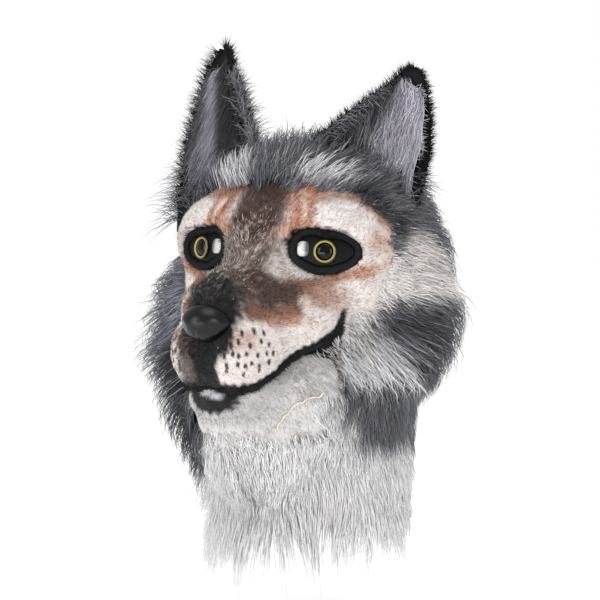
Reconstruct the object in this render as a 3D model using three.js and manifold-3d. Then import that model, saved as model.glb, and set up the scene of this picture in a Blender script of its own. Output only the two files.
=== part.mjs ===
// A full-head wolf costume mask: a padded hollow head with a printed plush face, a fleece lower jaw,
// domed eyes, a moulded nose, two cupped ears and a deep fur coat that hangs past the neck hem.
// Lengths are in millimetres. The head stands on +Z and faces -Y, and its own left side is +X.
// The head is drawn about its eye level, then set down so that the inside of the crown is the origin.

import * as THREE from "three";
import { mergeVertices } from "three/addons/utils/BufferGeometryUtils.js";
import Module from "manifold-3d";

const wasm = await Module();
wasm.setup();

// Driving sizes

const gap = 0.35; // clearance left between pieces that touch
const wall = 4; // the padded shell of the head
const skull = { across: 100, along: 100, up: 80, at: [0, 0, 0] };
const muzzle = { across: 40, along: 80, up: 40, at: [0, -80, -50] };
const jaw = { across: 40, along: 50, up: 35, at: [0, -90, -140] };
const neck = { across: 76, along: 80, up: 200, at: [0, 8, -150] };
const hem = -215; // the neck hem, below eye level
const heart = v3(0, -35, -50); // the head is seen from here, way by way
const jawHeart = v3(0, -84, -138);

const eye = { across: 58, ahead: 68, above: 3, turnOut: 20, leanBack: 6, backDepth: 9 };
// The dome of an eye plate: how far it stands out, and the half sizes at which its curve would come down.
const dome = { proud: 1.5, bulge: 4.5, halfLength: 30, halfHeight: 20 };
const socket = { halfWidth: 30, depth: 17, halfHeight: 20, melt: 12 };
const iris = { radius: 9.4, cord: 1.1, rise: 1.1 };
const pupilRise = 2.2;
const sclera = { along: -18.4, above: 2.2, halfLength: 5, halfHeight: 6.2, rise: 0.9 };
const lid = { halfHeight: 3, halfWidth: 3.4 };
const nose = { halfWidth: 20.5, halfDepth: 19, halfHeight: 16, ahead: 156, below: 51 };
const nostril = { across: 13, ahead: 12, below: 3, radius: 4.2 };
const lip = { cord: 4, reach: 106, fineness: 0.55 }; // `reach` is how far round it runs, in degrees
const ear = { thickness: 7, liningThickness: 4, liningMargin: 0.13, cup: 17, sink: 0.16, flatten: 0.55 };
const coat = { crown: 26, side: 17, cheek: 43, neck: 11, throat: 16, hang: 11, seam: 2, rootSink: 5 };
const jawMelt = 12; // how softly the jaw runs into the head under the fur
// The room under the upper lips, and how far its back wall slopes behind the corner of the mouth.
const mouthSize = { halfWidth: 200, back: 90, backTop: -104, cornerBack: 8, cornerDrop: 22 };
// A lock of fur: how far along it each ring stands, and that ring's half width as a share of the lock's.
const lockRings = [
  { along: 0, half: 0.42 },
  { along: 0.35, half: 0.5 },
  { along: 0.7, half: 0.3 },
];
const lockFlatness = 0.7;
const beyond = 320; // half the width of the blocks that cut the head, clear of it on every side
const beneath = -460;
// The left cheek is combed back from the face and the right one stands out from it.
const combing = { left: { start: 7, ramp: 18 }, right: { start: 22, ramp: 7 } };

// Rounded masses that melt into one another. Every number but `melt` is a share of the sizes of the group
// it is `of`, and `pair` gives a mass a twin on the other side.
const masses = [
  { name: "cranium", of: skull, x: 0, y: 0.1, z: 0.02, rx: 0.97, ry: 1.04, rz: 1.0, melt: 10 },
  { name: "brow", of: skull, pair: true, x: 0.48, y: -0.34, z: 0.1, rx: 0.56, ry: 0.48, rz: 0.56, melt: 14 },
  { name: "cheekbone", of: skull, pair: true, x: 0.6, y: -0.16, z: -0.5, rx: 0.5, ry: 0.46, rz: 0.66, melt: 14 },
  { name: "cheek", of: skull, pair: true, x: 0.42, y: -0.25, z: -1.25, rx: 0.42, ry: 0.48, rz: 0.72, melt: 18 },
  { name: "nape", of: skull, x: 0, y: 0.3, z: -0.85, rx: 0.76, ry: 0.62, rz: 0.9, melt: 16 },
  { name: "neck", of: neck, x: 0, y: 0, z: 0, rx: 1, ry: 1, rz: 1, melt: 20 },
  { name: "stop", of: muzzle, x: 0, y: 0.04, z: 0.95, rx: 0.66, ry: 0.34, rz: 0.85, melt: 14 },
  { name: "bridge", of: muzzle, x: 0, y: -0.32, z: 0.55, rx: 0.64, ry: 0.4, rz: 0.62, melt: 14 },
  { name: "snout", of: muzzle, x: 0, y: -0.66, z: 0.22, rx: 0.62, ry: 0.36, rz: 0.62, melt: 14 },
  { name: "muzzle", of: muzzle, x: 0, y: -0.3, z: -0.2, rx: 1.0, ry: 0.56, rz: 0.9, melt: 14 },
  { name: "pad", of: muzzle, pair: true, x: 0.44, y: -0.68, z: -0.7, rx: 0.5, ry: 0.32, rz: 0.72, melt: 8 },
  { name: "flew", of: muzzle, pair: true, x: 0.72, y: -0.36, z: -0.6, rx: 0.48, ry: 0.48, rz: 0.72, melt: 16 },
  { name: "lip", of: muzzle, x: 0, y: -0.62, z: -0.75, rx: 0.5, ry: 0.34, rz: 0.72, melt: 8 },
  { name: "jowl", of: muzzle, pair: true, x: 1.16, y: 0.06, z: -0.05, rx: 0.64, ry: 0.4, rz: 0.85, melt: 18 },
];
const jawMasses = [
  { name: "jawbone", of: jaw, x: 0, y: 0.04, z: 0.34, rx: 1.1, ry: 0.92, rz: 1.14, melt: 14 },
  { name: "chin", of: jaw, x: 0, y: -0.56, z: 0.8, rx: 0.85, ry: 0.64, rz: 0.74, melt: 12 },
  { name: "dewlap", of: jaw, x: 0, y: 0.24, z: -0.57, rx: 1.0, ry: 0.6, rz: 0.97, melt: 18 },
  { name: "hinge", of: jaw, pair: true, x: 1.05, y: 0.48, z: 0.91, rx: 0.7, ry: 0.6, rz: 1.37, melt: 18 },
];

// Where the plush face ends and the long fur begins: `round` runs in degrees from the crown over the side to
// the throat, and `out` is the angle from straight ahead.
const seamRows = [
  { round: 0, out: 74 },
  { round: 14, out: 76 },
  { round: 35, out: 86 },
  { round: 56, out: 99 },
  { round: 72, out: 101 },
  { round: 95, out: 88 },
  { round: 119, out: 74 },
  { round: 147, out: 76 },
  { round: 163, out: 70 },
  { round: 180, out: 66 },
];
// The same way round, the full depth of the fur on each side.
const depthRows = [
  { round: 0, left: coat.crown, right: coat.crown },
  { round: 50, left: coat.side, right: 1.1 * coat.side },
  { round: 72, left: 0.75 * coat.cheek, right: 0.9 * coat.cheek },
  { round: 84, left: coat.cheek, right: 1.1 * coat.cheek },
  { round: 102, left: coat.cheek, right: 1.15 * coat.cheek },
  { round: 116, left: 0.75 * coat.cheek, right: 1.1 * coat.cheek },
  { round: 130, left: 0.38 * coat.cheek, right: 0.9 * coat.cheek },
  { round: 146, left: coat.neck, right: 0.5 * coat.cheek },
  { round: 160, left: coat.neck, right: 1.2 * coat.throat },
  { round: 180, left: coat.throat, right: coat.throat },
];
// How much of that depth is left from the face to the nape.
const backRows = [
  { out: 100, share: 1 },
  { out: 120, share: 0.8 },
  { out: 150, share: 0.5 },
  { out: 180, share: 0.55 },
];
// How closely the ways stand, from straight ahead to the nape.
const ringRows = [
  { share: 0, out: 0 },
  { share: 0.36, out: 40 },
  { share: 0.74, out: 104 },
  { share: 1, out: 180 },
];
// The mouth line from the side: the height of the upper lip's edge at each place ahead of the head's axis.
const mouthRows = [
  { ahead: 64, up: -50 },
  { ahead: 80, up: -63 },
  { ahead: 107, up: -80 },
  { ahead: 134, up: -99 },
  { ahead: 142, up: -103 },
];
// The black almond round an eye, from the outer corner over the top: `turn` in degrees, `reach` from the middle.
const almondRows = [
  { turn: 0, reach: 25 },
  { turn: 20, reach: 19 },
  { turn: 50, reach: 14 },
  { turn: 90, reach: 12.5 },
  { turn: 120, reach: 17 },
  { turn: 148, reach: 25 },
  { turn: 180, reach: 24.5 },
  { turn: 215, reach: 15.5 },
  { turn: 270, reach: 11.5 },
  { turn: 320, reach: 15 },
  { turn: 360, reach: 25 },
];
// Each ear's inner foot, outer foot and tip, as shares of the skull's sizes.
const earRows = [
  { side: "left", foot: [0.14, -0.2, 1.16], outer: [0.96, 0.1, 0.42], tip: [0.97, 0.08, 1.86] },
  { side: "right", foot: [-0.36, -0.26, 0.98], outer: [-1.18, -0.32, 0.42], tip: [-1.0, 0.1, 2.14] },
];
// An ear from its foot to its tip: how far the edges still stand apart, and how they bow outwards.
const earWidthRows = [
  { rise: 0, width: 1, bow: 0 },
  { rise: 0.25, width: 0.86, bow: 0.03 },
  { rise: 0.5, width: 0.68, bow: 0.05 },
  { rise: 0.75, width: 0.44, bow: 0.05 },
  { rise: 0.93, width: 0.24, bow: 0.02 },
  { rise: 1, width: 0.14, bow: 0 },
];
// Rows of locks: where a row starts and ends on the head, how many locks it has, and each lock's length and
// width, how far it stands off the coat and how far it bends down by its tip.
const lockRows = [
  { of: "crown_fur", out: [84, 84], round: [-15, 15], count: 4, long: 34, wide: 17, lift: 0.5, fall: 0 },
  { of: "crown_fur", out: [100, 100], round: [-20, 20], count: 4, long: 34, wide: 18, lift: 0.45, fall: 0.1 },
  { of: "crown_fur", out: [124, 124], round: [-34, 34], count: 4, long: 34, wide: 21, lift: 0.26, fall: 0.4 },
  { of: "crown_fur", out: [142, 142], round: [-36, 36], count: 4, long: 36, wide: 22, lift: 0.22, fall: 0.6 },
  { of: "ruff", out: [104, 96], round: [66, 92], count: 3, long: 44, wide: 20, lift: 0.34, fall: 0.7 },
  { of: "ruff", out: [92, 86], round: [98, 122], count: 3, long: 42, wide: 21, lift: 0.3, fall: 0.9 },
  { of: "ruff", out: [112, 104], round: [76, 124], count: 4, long: 42, wide: 22, lift: 0.22, fall: 1.0 },
  { of: "ruff", out: [100, 94], round: [130, 148], count: 3, long: 36, wide: 21, lift: 0.06, fall: 1.3 },
  { of: "ruff", out: [124, 116], round: [102, 140], count: 3, long: 36, wide: 23, lift: 0.08, fall: 1.3 },
  { of: "mane", out: [150, 140], round: [-122, 122], count: 5, long: 38, wide: 25, lift: 0.16, fall: 0.9 },
  { of: "mane", out: [132, 126], round: [142, 218], count: 3, long: 40, wide: 26, lift: 0.1, fall: 1.1 },
];
// Locks that hang under the hem: where they stand round the neck, in degrees from straight ahead.
const hemRows = [
  { of: "throat_fur", turn: [-92, 92], count: 10, long: 22, wide: 25, root: 0 },
  { of: "throat_fur", turn: [-48, 48], count: 6, long: 36, wide: 24, root: 6 },
  { of: "mane", turn: [122, 238], count: 5, long: 12, wide: 26, root: 0 },
];
const crownLine = 24; // height above eye level where the crown's fur ends
const backLine = 46; // how far behind the head's axis the mane begins
// The white bib under the jaw, seen from the front.
const bib = { top: -150, topHalfWidth: 50, waist: -186, waistHalfWidth: 60, flare: -198, bottomHalfWidth: 120, behind: 24 };

// Small helpers

function v3(x, y, z) {
  return new THREE.Vector3(x, y, z);
}

// Reads a short table at one place.
function readRows(rows, key, column, value) {
  const next = rows.findIndex((row) => row[key] > value);
  if (next === 0) return rows[0][column];
  if (next < 0) return rows[rows.length - 1][column];
  const [a, b] = [rows[next - 1], rows[next]];
  const share = (value - a[key]) / (b[key] - a[key]);
  return a[column] + (b[column] - a[column]) * share;
}

function folded(round) {
  const turn = ((round % 360) + 360) % 360;
  return turn > 180 ? 360 - turn : turn;
}

function solidOf(geometry) {
  const bare = new THREE.BufferGeometry();
  bare.setAttribute("position", geometry.getAttribute("position").clone());
  if (geometry.index) bare.setIndex(geometry.index.clone());
  const merged = mergeVertices(bare, 1e-4);
  const vertProperties = new Float32Array(merged.attributes.position.array);
  const triVerts = new Uint32Array(merged.index.array);
  const made = new wasm.Manifold(new wasm.Mesh({ numProp: 3, vertProperties, triVerts }));
  if (made.volume() >= 0) return made;
  const flipped = Uint32Array.from(triVerts, (value, i) => triVerts[i % 3 === 0 ? i : i + (i % 3 === 1 ? 1 : -1)]);
  return new wasm.Manifold(new wasm.Mesh({ numProp: 3, vertProperties, triVerts: flipped }));
}

// The largest body of a cut solid, because a cut can leave crumbs thinner than the cloth.
function mainBody(solid) {
  return solid.decompose().reduce((best, body) => (body.volume() > best.volume() ? body : best));
}

function joined(solids) {
  return solids.reduce((all, solid) => all.add(solid));
}

function geometryOf(solid) {
  const mesh = solid.getMesh();
  const count = mesh.vertProperties.length / mesh.numProp;
  const position = new Float32Array(count * 3);
  for (let i = 0; i < count; i += 1) {
    position.set(mesh.vertProperties.subarray(i * mesh.numProp, i * mesh.numProp + 3), i * 3);
  }
  const geometry = new THREE.BufferGeometry();
  geometry.setAttribute("position", new THREE.BufferAttribute(position, 3));
  geometry.setIndex(new THREE.BufferAttribute(new Uint32Array(mesh.triVerts), 1));
  return geometry;
}

// A closed skin of rings between two end points. `pointAt` takes the ring's share and the share round it.
function ringSolid(rings, sides, pointAt) {
  const points = [pointAt(0, 0)];
  for (let i = 1; i < rings; i += 1) {
    for (let j = 0; j < sides; j += 1) points.push(pointAt(i / rings, j / sides));
  }
  points.push(pointAt(1, 0));
  const index = [];
  const at = (i, j) => 1 + (i - 1) * sides + (j % sides);
  const last = points.length - 1;
  for (let j = 0; j < sides; j += 1) {
    index.push(0, at(1, j), at(1, j + 1));
    index.push(last, at(rings - 1, j + 1), at(rings - 1, j));
    for (let i = 1; i < rings - 1; i += 1) {
      index.push(at(i, j), at(i + 1, j), at(i + 1, j + 1));
      index.push(at(i, j), at(i + 1, j + 1), at(i, j + 1));
    }
  }
  const geometry = new THREE.BufferGeometry().setFromPoints(points);
  geometry.setIndex(index);
  return solidOf(geometry);
}

// A closed leaf: a front sheet and a back sheet, joined all round their edge.
function leafSolid(rows, columns, pointAt) {
  const points = [];
  for (const behind of [0, 1]) {
    for (let i = 0; i <= rows; i += 1) {
      for (let j = 0; j <= columns; j += 1) points.push(pointAt(i / rows, j / columns, behind));
    }
  }
  const index = [];
  const at = (i, j, behind) => (behind * (rows + 1) + i) * (columns + 1) + j;
  const quad = (a, b, c, d) => index.push(a, b, c, a, c, d);
  for (let i = 0; i < rows; i += 1) {
    for (let j = 0; j < columns; j += 1) {
      quad(at(i, j, 0), at(i, j + 1, 0), at(i + 1, j + 1, 0), at(i + 1, j, 0));
      quad(at(i, j, 1), at(i + 1, j, 1), at(i + 1, j + 1, 1), at(i, j + 1, 1));
    }
    quad(at(i, 0, 0), at(i + 1, 0, 0), at(i + 1, 0, 1), at(i, 0, 1));
    quad(at(i, columns, 0), at(i, columns, 1), at(i + 1, columns, 1), at(i + 1, columns, 0));
  }
  for (let j = 0; j < columns; j += 1) {
    quad(at(0, j, 0), at(0, j, 1), at(0, j + 1, 1), at(0, j + 1, 0));
    quad(at(rows, j, 0), at(rows, j + 1, 0), at(rows, j + 1, 1), at(rows, j, 1));
  }
  const geometry = new THREE.BufferGeometry().setFromPoints(points);
  geometry.setIndex(index);
  return solidOf(geometry);
}

// A flat outline in (ahead, up) pushed through from side to side.
function sidePrism(outline, halfWidth) {
  const shape = new THREE.Shape(outline.map(([ahead, up]) => new THREE.Vector2(ahead, up)));
  const made = new THREE.ExtrudeGeometry(shape, { depth: 2 * halfWidth, bevelEnabled: false });
  made.translate(0, 0, -halfWidth);
  made.applyMatrix4(new THREE.Matrix4().makeBasis(v3(0, -1, 0), v3(0, 0, 1), v3(-1, 0, 0)));
  return solidOf(made);
}

// A flat outline in (across, up) pushed through from one place ahead to another.
function frontPrism(outline, ahead, behind) {
  const shape = new THREE.Shape(outline.map(([across, up]) => new THREE.Vector2(across, up)));
  const made = new THREE.ExtrudeGeometry(shape, { depth: ahead + behind, bevelEnabled: false });
  made.translate(0, 0, -behind);
  made.applyMatrix4(new THREE.Matrix4().makeBasis(v3(1, 0, 0), v3(0, 0, 1), v3(0, -1, 0)));
  return solidOf(made);
}

// A block between two corners.
function block(low, high) {
  const box = new THREE.BoxGeometry(high[0] - low[0], high[1] - low[1], high[2] - low[2]);
  box.translate((low[0] + high[0]) / 2, (low[1] + high[1]) / 2, (low[2] + high[2]) / 2);
  return solidOf(box);
}

// An oval cord along an open path. `outAt` says which way its first radius points.
function cord(points, sides, radiusAt, outAt) {
  const rings = points.length + 1;
  return ringSolid(rings, sides, (ringShare, roundShare) => {
    const ring = Math.round(ringShare * rings);
    const i = Math.min(Math.max(ring - 1, 0), points.length - 1);
    const [before, after] = [points[Math.max(i - 1, 0)], points[Math.min(i + 1, points.length - 1)]];
    const along = after.clone().sub(before).normalize();
    if (ring === 0) return points[0].clone().addScaledVector(along, -radiusAt(0)[0] / 2);
    if (ring === rings) return points[i].clone().addScaledVector(along, radiusAt(1)[0] / 2);
    const out = outAt(i).clone().addScaledVector(along, -outAt(i).dot(along)).normalize();
    const aside = along.clone().cross(out);
    const [first, second] = radiusAt(i / (points.length - 1));
    const turn = 2 * Math.PI * roundShare;
    const place = points[i].clone().addScaledVector(out, Math.cos(turn) * first);
    return place.addScaledVector(aside, Math.sin(turn) * second);
  });
}

// A closed oval cord round a loop of points.
function loopCord(points, sides, first, second, outAt) {
  const count = points.length;
  const position = [];
  const index = [];
  points.forEach((point, i) => {
    const along = points[(i + 1) % count].clone().sub(points[(i + count - 1) % count]).normalize();
    const out = outAt(i).clone().addScaledVector(along, -outAt(i).dot(along)).normalize();
    const aside = along.clone().cross(out);
    for (let j = 0; j < sides; j += 1) {
      const turn = (2 * Math.PI * j) / sides;
      const place = point.clone().addScaledVector(out, Math.cos(turn) * first);
      position.push(place.addScaledVector(aside, Math.sin(turn) * second));
      const [a, b] = [i * sides + j, i * sides + ((j + 1) % sides)];
      const [c, d] = [((i + 1) % count) * sides + j, ((i + 1) % count) * sides + ((j + 1) % sides)];
      index.push(a, c, b, b, c, d);
    }
  });
  const geometry = new THREE.BufferGeometry().setFromPoints(position);
  geometry.setIndex(index);
  return solidOf(geometry);
}

// The head's form

function placed(row, sign) {
  const { of } = row;
  return {
    centre: v3(of.at[0] + sign * row.x * of.across, of.at[1] + row.y * of.along, of.at[2] + row.z * of.up),
    radii: v3(row.rx * of.across, row.ry * of.along, row.rz * of.up),
    melt: row.melt,
  };
}

function placedAll(rows) {
  return rows.flatMap((row) => (row.pair ? [placed(row, 1), placed(row, -1)] : [placed(row, 1)]));
}

const upperBodies = placedAll(masses);
const jawBodies = placedAll(jawMasses);
// The hollows that the eyes sit in.
const sockets = [1, -1].map((sign) => ({
  centre: v3(sign * eye.across, -eye.ahead - socket.depth, eye.above),
  radii: v3(socket.halfWidth, socket.depth, socket.halfHeight),
  melt: socket.melt,
}));

function distanceTo(mass, point) {
  const x = (point.x - mass.centre.x) / mass.radii.x;
  const y = (point.y - mass.centre.y) / mass.radii.y;
  const z = (point.z - mass.centre.z) / mass.radii.z;
  const near = Math.hypot(x, y, z);
  const slope = Math.hypot(x / mass.radii.x, y / mass.radii.y, z / mass.radii.z);
  return slope > 1e-9 ? (near * (near - 1)) / slope : -mass.radii.z;
}

function melted(a, b, melt) {
  const share = Math.max(melt - Math.abs(a - b), 0) / melt;
  return Math.min(a, b) - (share * share * melt) / 4;
}

// How far a point lies outside a group of masses.
function groupDistance(group, point) {
  let distance = distanceTo(group[0], point);
  for (const mass of group.slice(1)) distance = melted(distance, distanceTo(mass, point), mass.melt);
  return distance;
}

function headDistance(point) {
  let distance = groupDistance(upperBodies, point);
  for (const pit of sockets) distance = -melted(-distance, distanceTo(pit, point), pit.melt);
  return distance;
}

function jawDistance(point) {
  return groupDistance(jawBodies, point);
}

function wholeDistance(point) {
  return melted(headDistance(point), jawDistance(point), jawMelt);
}

// The way from the heart that is `out` degrees from straight ahead and `round` degrees from the crown.
function wayAt(out, round) {
  const [a, b] = [THREE.MathUtils.degToRad(out), THREE.MathUtils.degToRad(round)];
  return v3(Math.sin(a) * Math.sin(b), -Math.cos(a), Math.sin(a) * Math.cos(b));
}

// The outermost point along a way where a distance reaches `level`.
function skinPoint(distance, from, way, level) {
  let far = 380;
  while (far > 8 && distance(from.clone().addScaledVector(way, far - 8)) > level) far -= 8;
  let near = Math.max(far - 8, 0);
  for (let i = 0; i < 14; i += 1) {
    const middle = (near + far) / 2;
    if (distance(from.clone().addScaledVector(way, middle)) < level) near = middle;
    else far = middle;
  }
  return from.clone().addScaledVector(way, near);
}

function outwardAt(distance, point) {
  const slope = (step) => distance(point.clone().add(step)) - distance(point.clone().sub(step));
  return v3(slope(v3(0.5, 0, 0)), slope(v3(0, 0.5, 0)), slope(v3(0, 0, 0.5))).normalize();
}

function headSolid(level, rings, sides) {
  return ringSolid(rings, sides, (share, round) => {
    const way = wayAt(readRows(ringRows, "share", "out", share), 360 * round);
    return skinPoint(headDistance, heart, way, level);
  });
}

function jawSolid(level, rings, sides) {
  return ringSolid(rings, sides, (share, round) => {
    return skinPoint(jawDistance, jawHeart, wayAt(180 * share, 360 * round), level);
  });
}

function seamAt(round) {
  return readRows(seamRows, "round", "out", folded(round));
}

// A cone from the heart that holds the plush face, opened by `grow` millimetres at the skin.
function faceCone(grow) {
  const opened = THREE.MathUtils.radToDeg(grow / skull.across);
  return ringSolid(6, 32, (share, round) => {
    if (share === 1) return heart.clone();
    const out = (seamAt(360 * round) + opened) * Math.min(1, share * 1.2);
    return heart.clone().addScaledVector(wayAt(out, 360 * round), 420);
  });
}

// The room under the upper lips, `grow` millimetres bigger on every side.
function mouthRoom(grow) {
  const corner = mouthRows[0];
  const edge = mouthRows.map(({ ahead, up }) => [ahead - 0.5 * grow, up + 0.9 * grow]);
  const front = mouthRows[mouthRows.length - 1];
  const back = mouthSize.back - grow;
  const below = [[beyond, front.up + grow], [beyond, beneath], [back, beneath], [back, mouthSize.backTop]];
  const behind = [[corner.ahead + mouthSize.cornerBack - grow, corner.up - mouthSize.cornerDrop]];
  return sidePrism([...edge, ...below, ...behind], mouthSize.halfWidth);
}

function lipHeight(ahead) {
  return readRows(mouthRows, "ahead", "up", ahead);
}

// The point of the upper lip's edge that is `turn` degrees round from straight ahead.
function lipPoint(turn) {
  const way = v3(Math.sin(THREE.MathUtils.degToRad(turn)), -Math.cos(THREE.MathUtils.degToRad(turn)), 0);
  let place = v3(0, -130, -110);
  for (let i = 0; i < 8; i += 1) {
    const from = v3(0, -88, (lipHeight(-place.y) + place.z) / 2);
    place = skinPoint(headDistance, from, way, -1);
  }
  return place;
}

// The padded head, the plush face and the jaw

const skin = headSolid(0, 22, 30);
const grownSkin = headSolid(gap, 22, 30);
// Under the deep fur the head is drawn more coarsely.
const hoodSkin = headSolid(0, 14, 20);
const grownHoodSkin = headSolid(gap, 14, 20);
const hollow = headSolid(-wall, 13, 18);
const underHem = block([-beyond, -beyond, beneath], [beyond, beyond, hem]);

const lipTurns = Array.from({ length: 19 }, (none, i) => lip.reach * (i / 9 - 1));
const lipPath = lipTurns.map(lipPoint);
function lipSolid(grow) {
  const taper = (share) => lip.fineness + (1 - lip.fineness) * Math.sin(Math.PI * share);
  const radius = (share) => [lip.cord * taper(share) + grow, lip.cord * taper(share) + grow];
  return cord(lipPath, 5, radius, (i) => outwardAt(headDistance, lipPath[i]));
}

const noseCentre = v3(0, -nose.ahead, -nose.below);
// The nose ball, flatter above and behind, drawn in under its front.
function noseSolid(grow) {
  return ringSolid(8, 12, (share, round) => {
    const way = wayAt(180 * share, 360 * round);
    const under = way.z < 0 ? 1 - 0.12 * way.z * way.z : 1;
    const place = v3(way.x * (nose.halfWidth + grow) * under, way.y * (nose.halfDepth + grow), 0);
    place.z = way.z * (nose.halfHeight + grow) * (1 - 0.1 * way.x * way.x);
    return place.add(noseCentre);
  });
}
function nostrilSolid(sign) {
  const ball = new THREE.SphereGeometry(nostril.radius, 6, 4);
  ball.scale(1.25, 1.2, 0.8);
  ball.translate(sign * nostril.across, -nostril.ahead, -nostril.below);
  ball.translate(noseCentre.x, noseCentre.y, noseCentre.z);
  return solidOf(ball);
}

// Eyes. Each is drawn flat about its own middle, with `along` outwards and `above` upwards.

const eyeFrames = [["left", 1], ["right", -1]].map(([side, sign]) => {
  const turn = THREE.MathUtils.degToRad(eye.turnOut);
  const lean = THREE.MathUtils.degToRad(eye.leanBack);
  const ahead = v3(sign * Math.sin(turn) * Math.cos(lean), -Math.cos(turn) * Math.cos(lean), Math.sin(lean));
  const along = v3(sign * Math.cos(turn), Math.sin(turn), 0);
  const above = v3(0, 0, 1).addScaledVector(ahead, -ahead.z).normalize();
  const middle = v3(sign * eye.across, -eye.ahead, eye.above);
  return { side, ahead, along, above, middle };
});

function eyePoint(frame, along, above, ahead) {
  return frame.middle.clone()
    .addScaledVector(frame.along, along)
    .addScaledVector(frame.above, above)
    .addScaledVector(frame.ahead, ahead);
}

function domeAt(along, above) {
  const fall = (along / dome.halfLength) ** 2 + (above / dome.halfHeight) ** 2;
  return dome.proud + dome.bulge * (1 - fall);
}

// The almond's edge at a turn, moved outwards by `grow`.
function almondEdge(turn, grow) {
  const edge = (degrees) => {
    const reach = readRows(almondRows, "turn", "reach", ((degrees % 360) + 360) % 360);
    const angle = THREE.MathUtils.degToRad(degrees);
    return new THREE.Vector2(reach * Math.cos(angle), reach * Math.sin(angle));
  };
  const along = edge(turn + 10).sub(edge(turn - 10)).normalize();
  return edge(turn).add(new THREE.Vector2(along.y, -along.x).multiplyScalar(grow));
}

// The black plate: its dome in front, its flat back, and the almond's edge between them.
function plateSolid(frame, grow, sides = 18) {
  return ringSolid(6, sides, (share, round) => {
    const edge = almondEdge(360 * round, grow);
    const front = share <= 0.5;
    const spread = front ? share * 2 : Math.min(1, (1 - share) * 6);
    const [along, above] = [edge.x * spread, edge.y * spread];
    if (front) return eyePoint(frame, along, above, domeAt(along, above) + grow);
    const depth = share === 1 || share > 0.6 ? -eye.backDepth - grow : 0;
    return eyePoint(frame, along, above, depth);
  });
}

// A low oval cap that rests on the dome.
function capSolid(frame, middle, halfLength, halfHeight, rise, rings, sides) {
  return ringSolid(2 * rings, sides, (share, round) => {
    const reach = 1 - Math.abs(1 - 2 * share);
    const turn = 2 * Math.PI * round;
    const along = middle[0] + reach * halfLength * Math.cos(turn);
    const above = middle[1] + reach * halfHeight * Math.sin(turn);
    const lift = share < 0.5 ? rise * Math.sqrt(Math.max(0, 1 - reach * reach)) : 0;
    return eyePoint(frame, along, above, domeAt(along, above) + gap + lift);
  });
}

function irisSolid(frame) {
  const points = Array.from({ length: 16 }, (none, i) => {
    const turn = (2 * Math.PI * i) / 16;
    const reach = iris.radius - iris.cord;
    const [along, above] = [reach * Math.cos(turn), reach * Math.sin(turn)];
    return eyePoint(frame, along, above, domeAt(along, above) + gap + iris.rise);
  });
  return loopCord(points, 4, iris.rise, iris.cord, () => frame.ahead);
}

function rimSolid(frame) {
  const points = Array.from({ length: 18 }, (none, i) => {
    const edge = almondEdge(20 * i, lid.halfWidth + gap);
    return eyePoint(frame, edge.x, edge.y, domeAt(0.85 * edge.x, 0.85 * edge.y) - 0.5);
  });
  return loopCord(points, 5, lid.halfHeight, lid.halfWidth, () => frame.ahead);
}

// Ears. `across` runs from the inner edge to the outer edge and `rise` from the foot to the tip.

function onSkull([x, y, z]) {
  return v3(x * skull.across, y * skull.along, z * skull.up);
}

const earFrames = earRows.map((row) => {
  const [inner, outer, tip] = [onSkull(row.foot), onSkull(row.outer), onSkull(row.tip)];
  const sign = row.side === "left" ? 1 : -1;
  const foot = inner.clone().add(outer).multiplyScalar(0.5);
  const up = tip.clone().sub(foot);
  const out = outer.clone().sub(inner);
  const ahead = sign > 0 ? out.clone().cross(up).normalize() : up.clone().cross(out).normalize();
  return { side: row.side, sign, inner, outer, tip, foot, up, out, ahead };
});

// A point of an ear's front face. `inset` draws the edges in, as a share of the width.
function earPoint(frame, across, rise, inset, back) {
  const width = readRows(earWidthRows, "rise", "width", Math.max(rise, 0)) * (1 - 2 * inset);
  const bow = readRows(earWidthRows, "rise", "bow", Math.max(rise, 0));
  const side = (across - 0.5) * 2;
  const place = frame.foot.clone().addScaledVector(frame.up, rise);
  place.addScaledVector(frame.out, 0.5 * width * side + bow);
  const cup = ear.cup * (1 - side * side * (1 - inset) ** 2) * (1 - ear.flatten * rise);
  return place.addScaledVector(frame.ahead, -cup - back);
}

// A leaf of cloth between two depths of an ear, closed round its edge.
function earLeaf(frame, inset, low, high, front, back, rows = 5, columns = 6) {
  return leafSolid(rows, columns, (rowShare, columnShare, behind) => {
    return earPoint(frame, columnShare, low + (high - low) * rowShare, inset, behind ? back : front);
  });
}

// The deep fur

function furDepth(out, round) {
  const side = ((round % 360) + 360) % 360 > 180 ? "right" : "left";
  const full = readRows(depthRows, "round", side, folded(round)) * readRows(backRows, "out", "share", out);
  const { start, ramp } = combing[side];
  const shareIn = Math.min(1, Math.max(0, (out - seamAt(round)) / ramp));
  return Math.min(start, full) + Math.max(0, full - start) * Math.sin((Math.PI / 2) * shareIn);
}

function coatPoint(out, round, sink) {
  return skinPoint(wholeDistance, heart, wayAt(out, round), furDepth(out, round) - sink);
}

const coatBody = ringSolid(15, 26, (share, round) => {
  return coatPoint(readRows(ringRows, "share", "out", share), 360 * round, 0);
});
const underCoat = block([-beyond, -beyond, beneath], [beyond, beyond, hem - coat.hang]);

// A lock of fur: a bent three-sided spike from a root in the coat to a fine tip.
function lockSolid(root, start, bend, length, width) {
  const points = lockRings.map(({ along }) => {
    return root.clone().addScaledVector(start, length * along).addScaledVector(bend, length * along * along);
  });
  const tip = root.clone().addScaledVector(start, length).addScaledVector(bend, length);
  return ringSolid(4, 3, (share, round) => {
    const ring = Math.round(share * 4);
    if (ring === 0) return root.clone().addScaledVector(start, -width * 0.3);
    if (ring === 4) return tip;
    const aside = start.clone().cross(bend.lengthSq() > 1e-6 ? bend : v3(0, 0, 1)).normalize();
    const out = aside.clone().cross(start).normalize();
    const turn = 2 * Math.PI * round;
    const half = width * lockRings[ring - 1].half;
    const place = points[ring - 1].clone().addScaledVector(aside, half * Math.sin(turn));
    return place.addScaledVector(out, lockFlatness * half * Math.cos(turn));
  });
}

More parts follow.
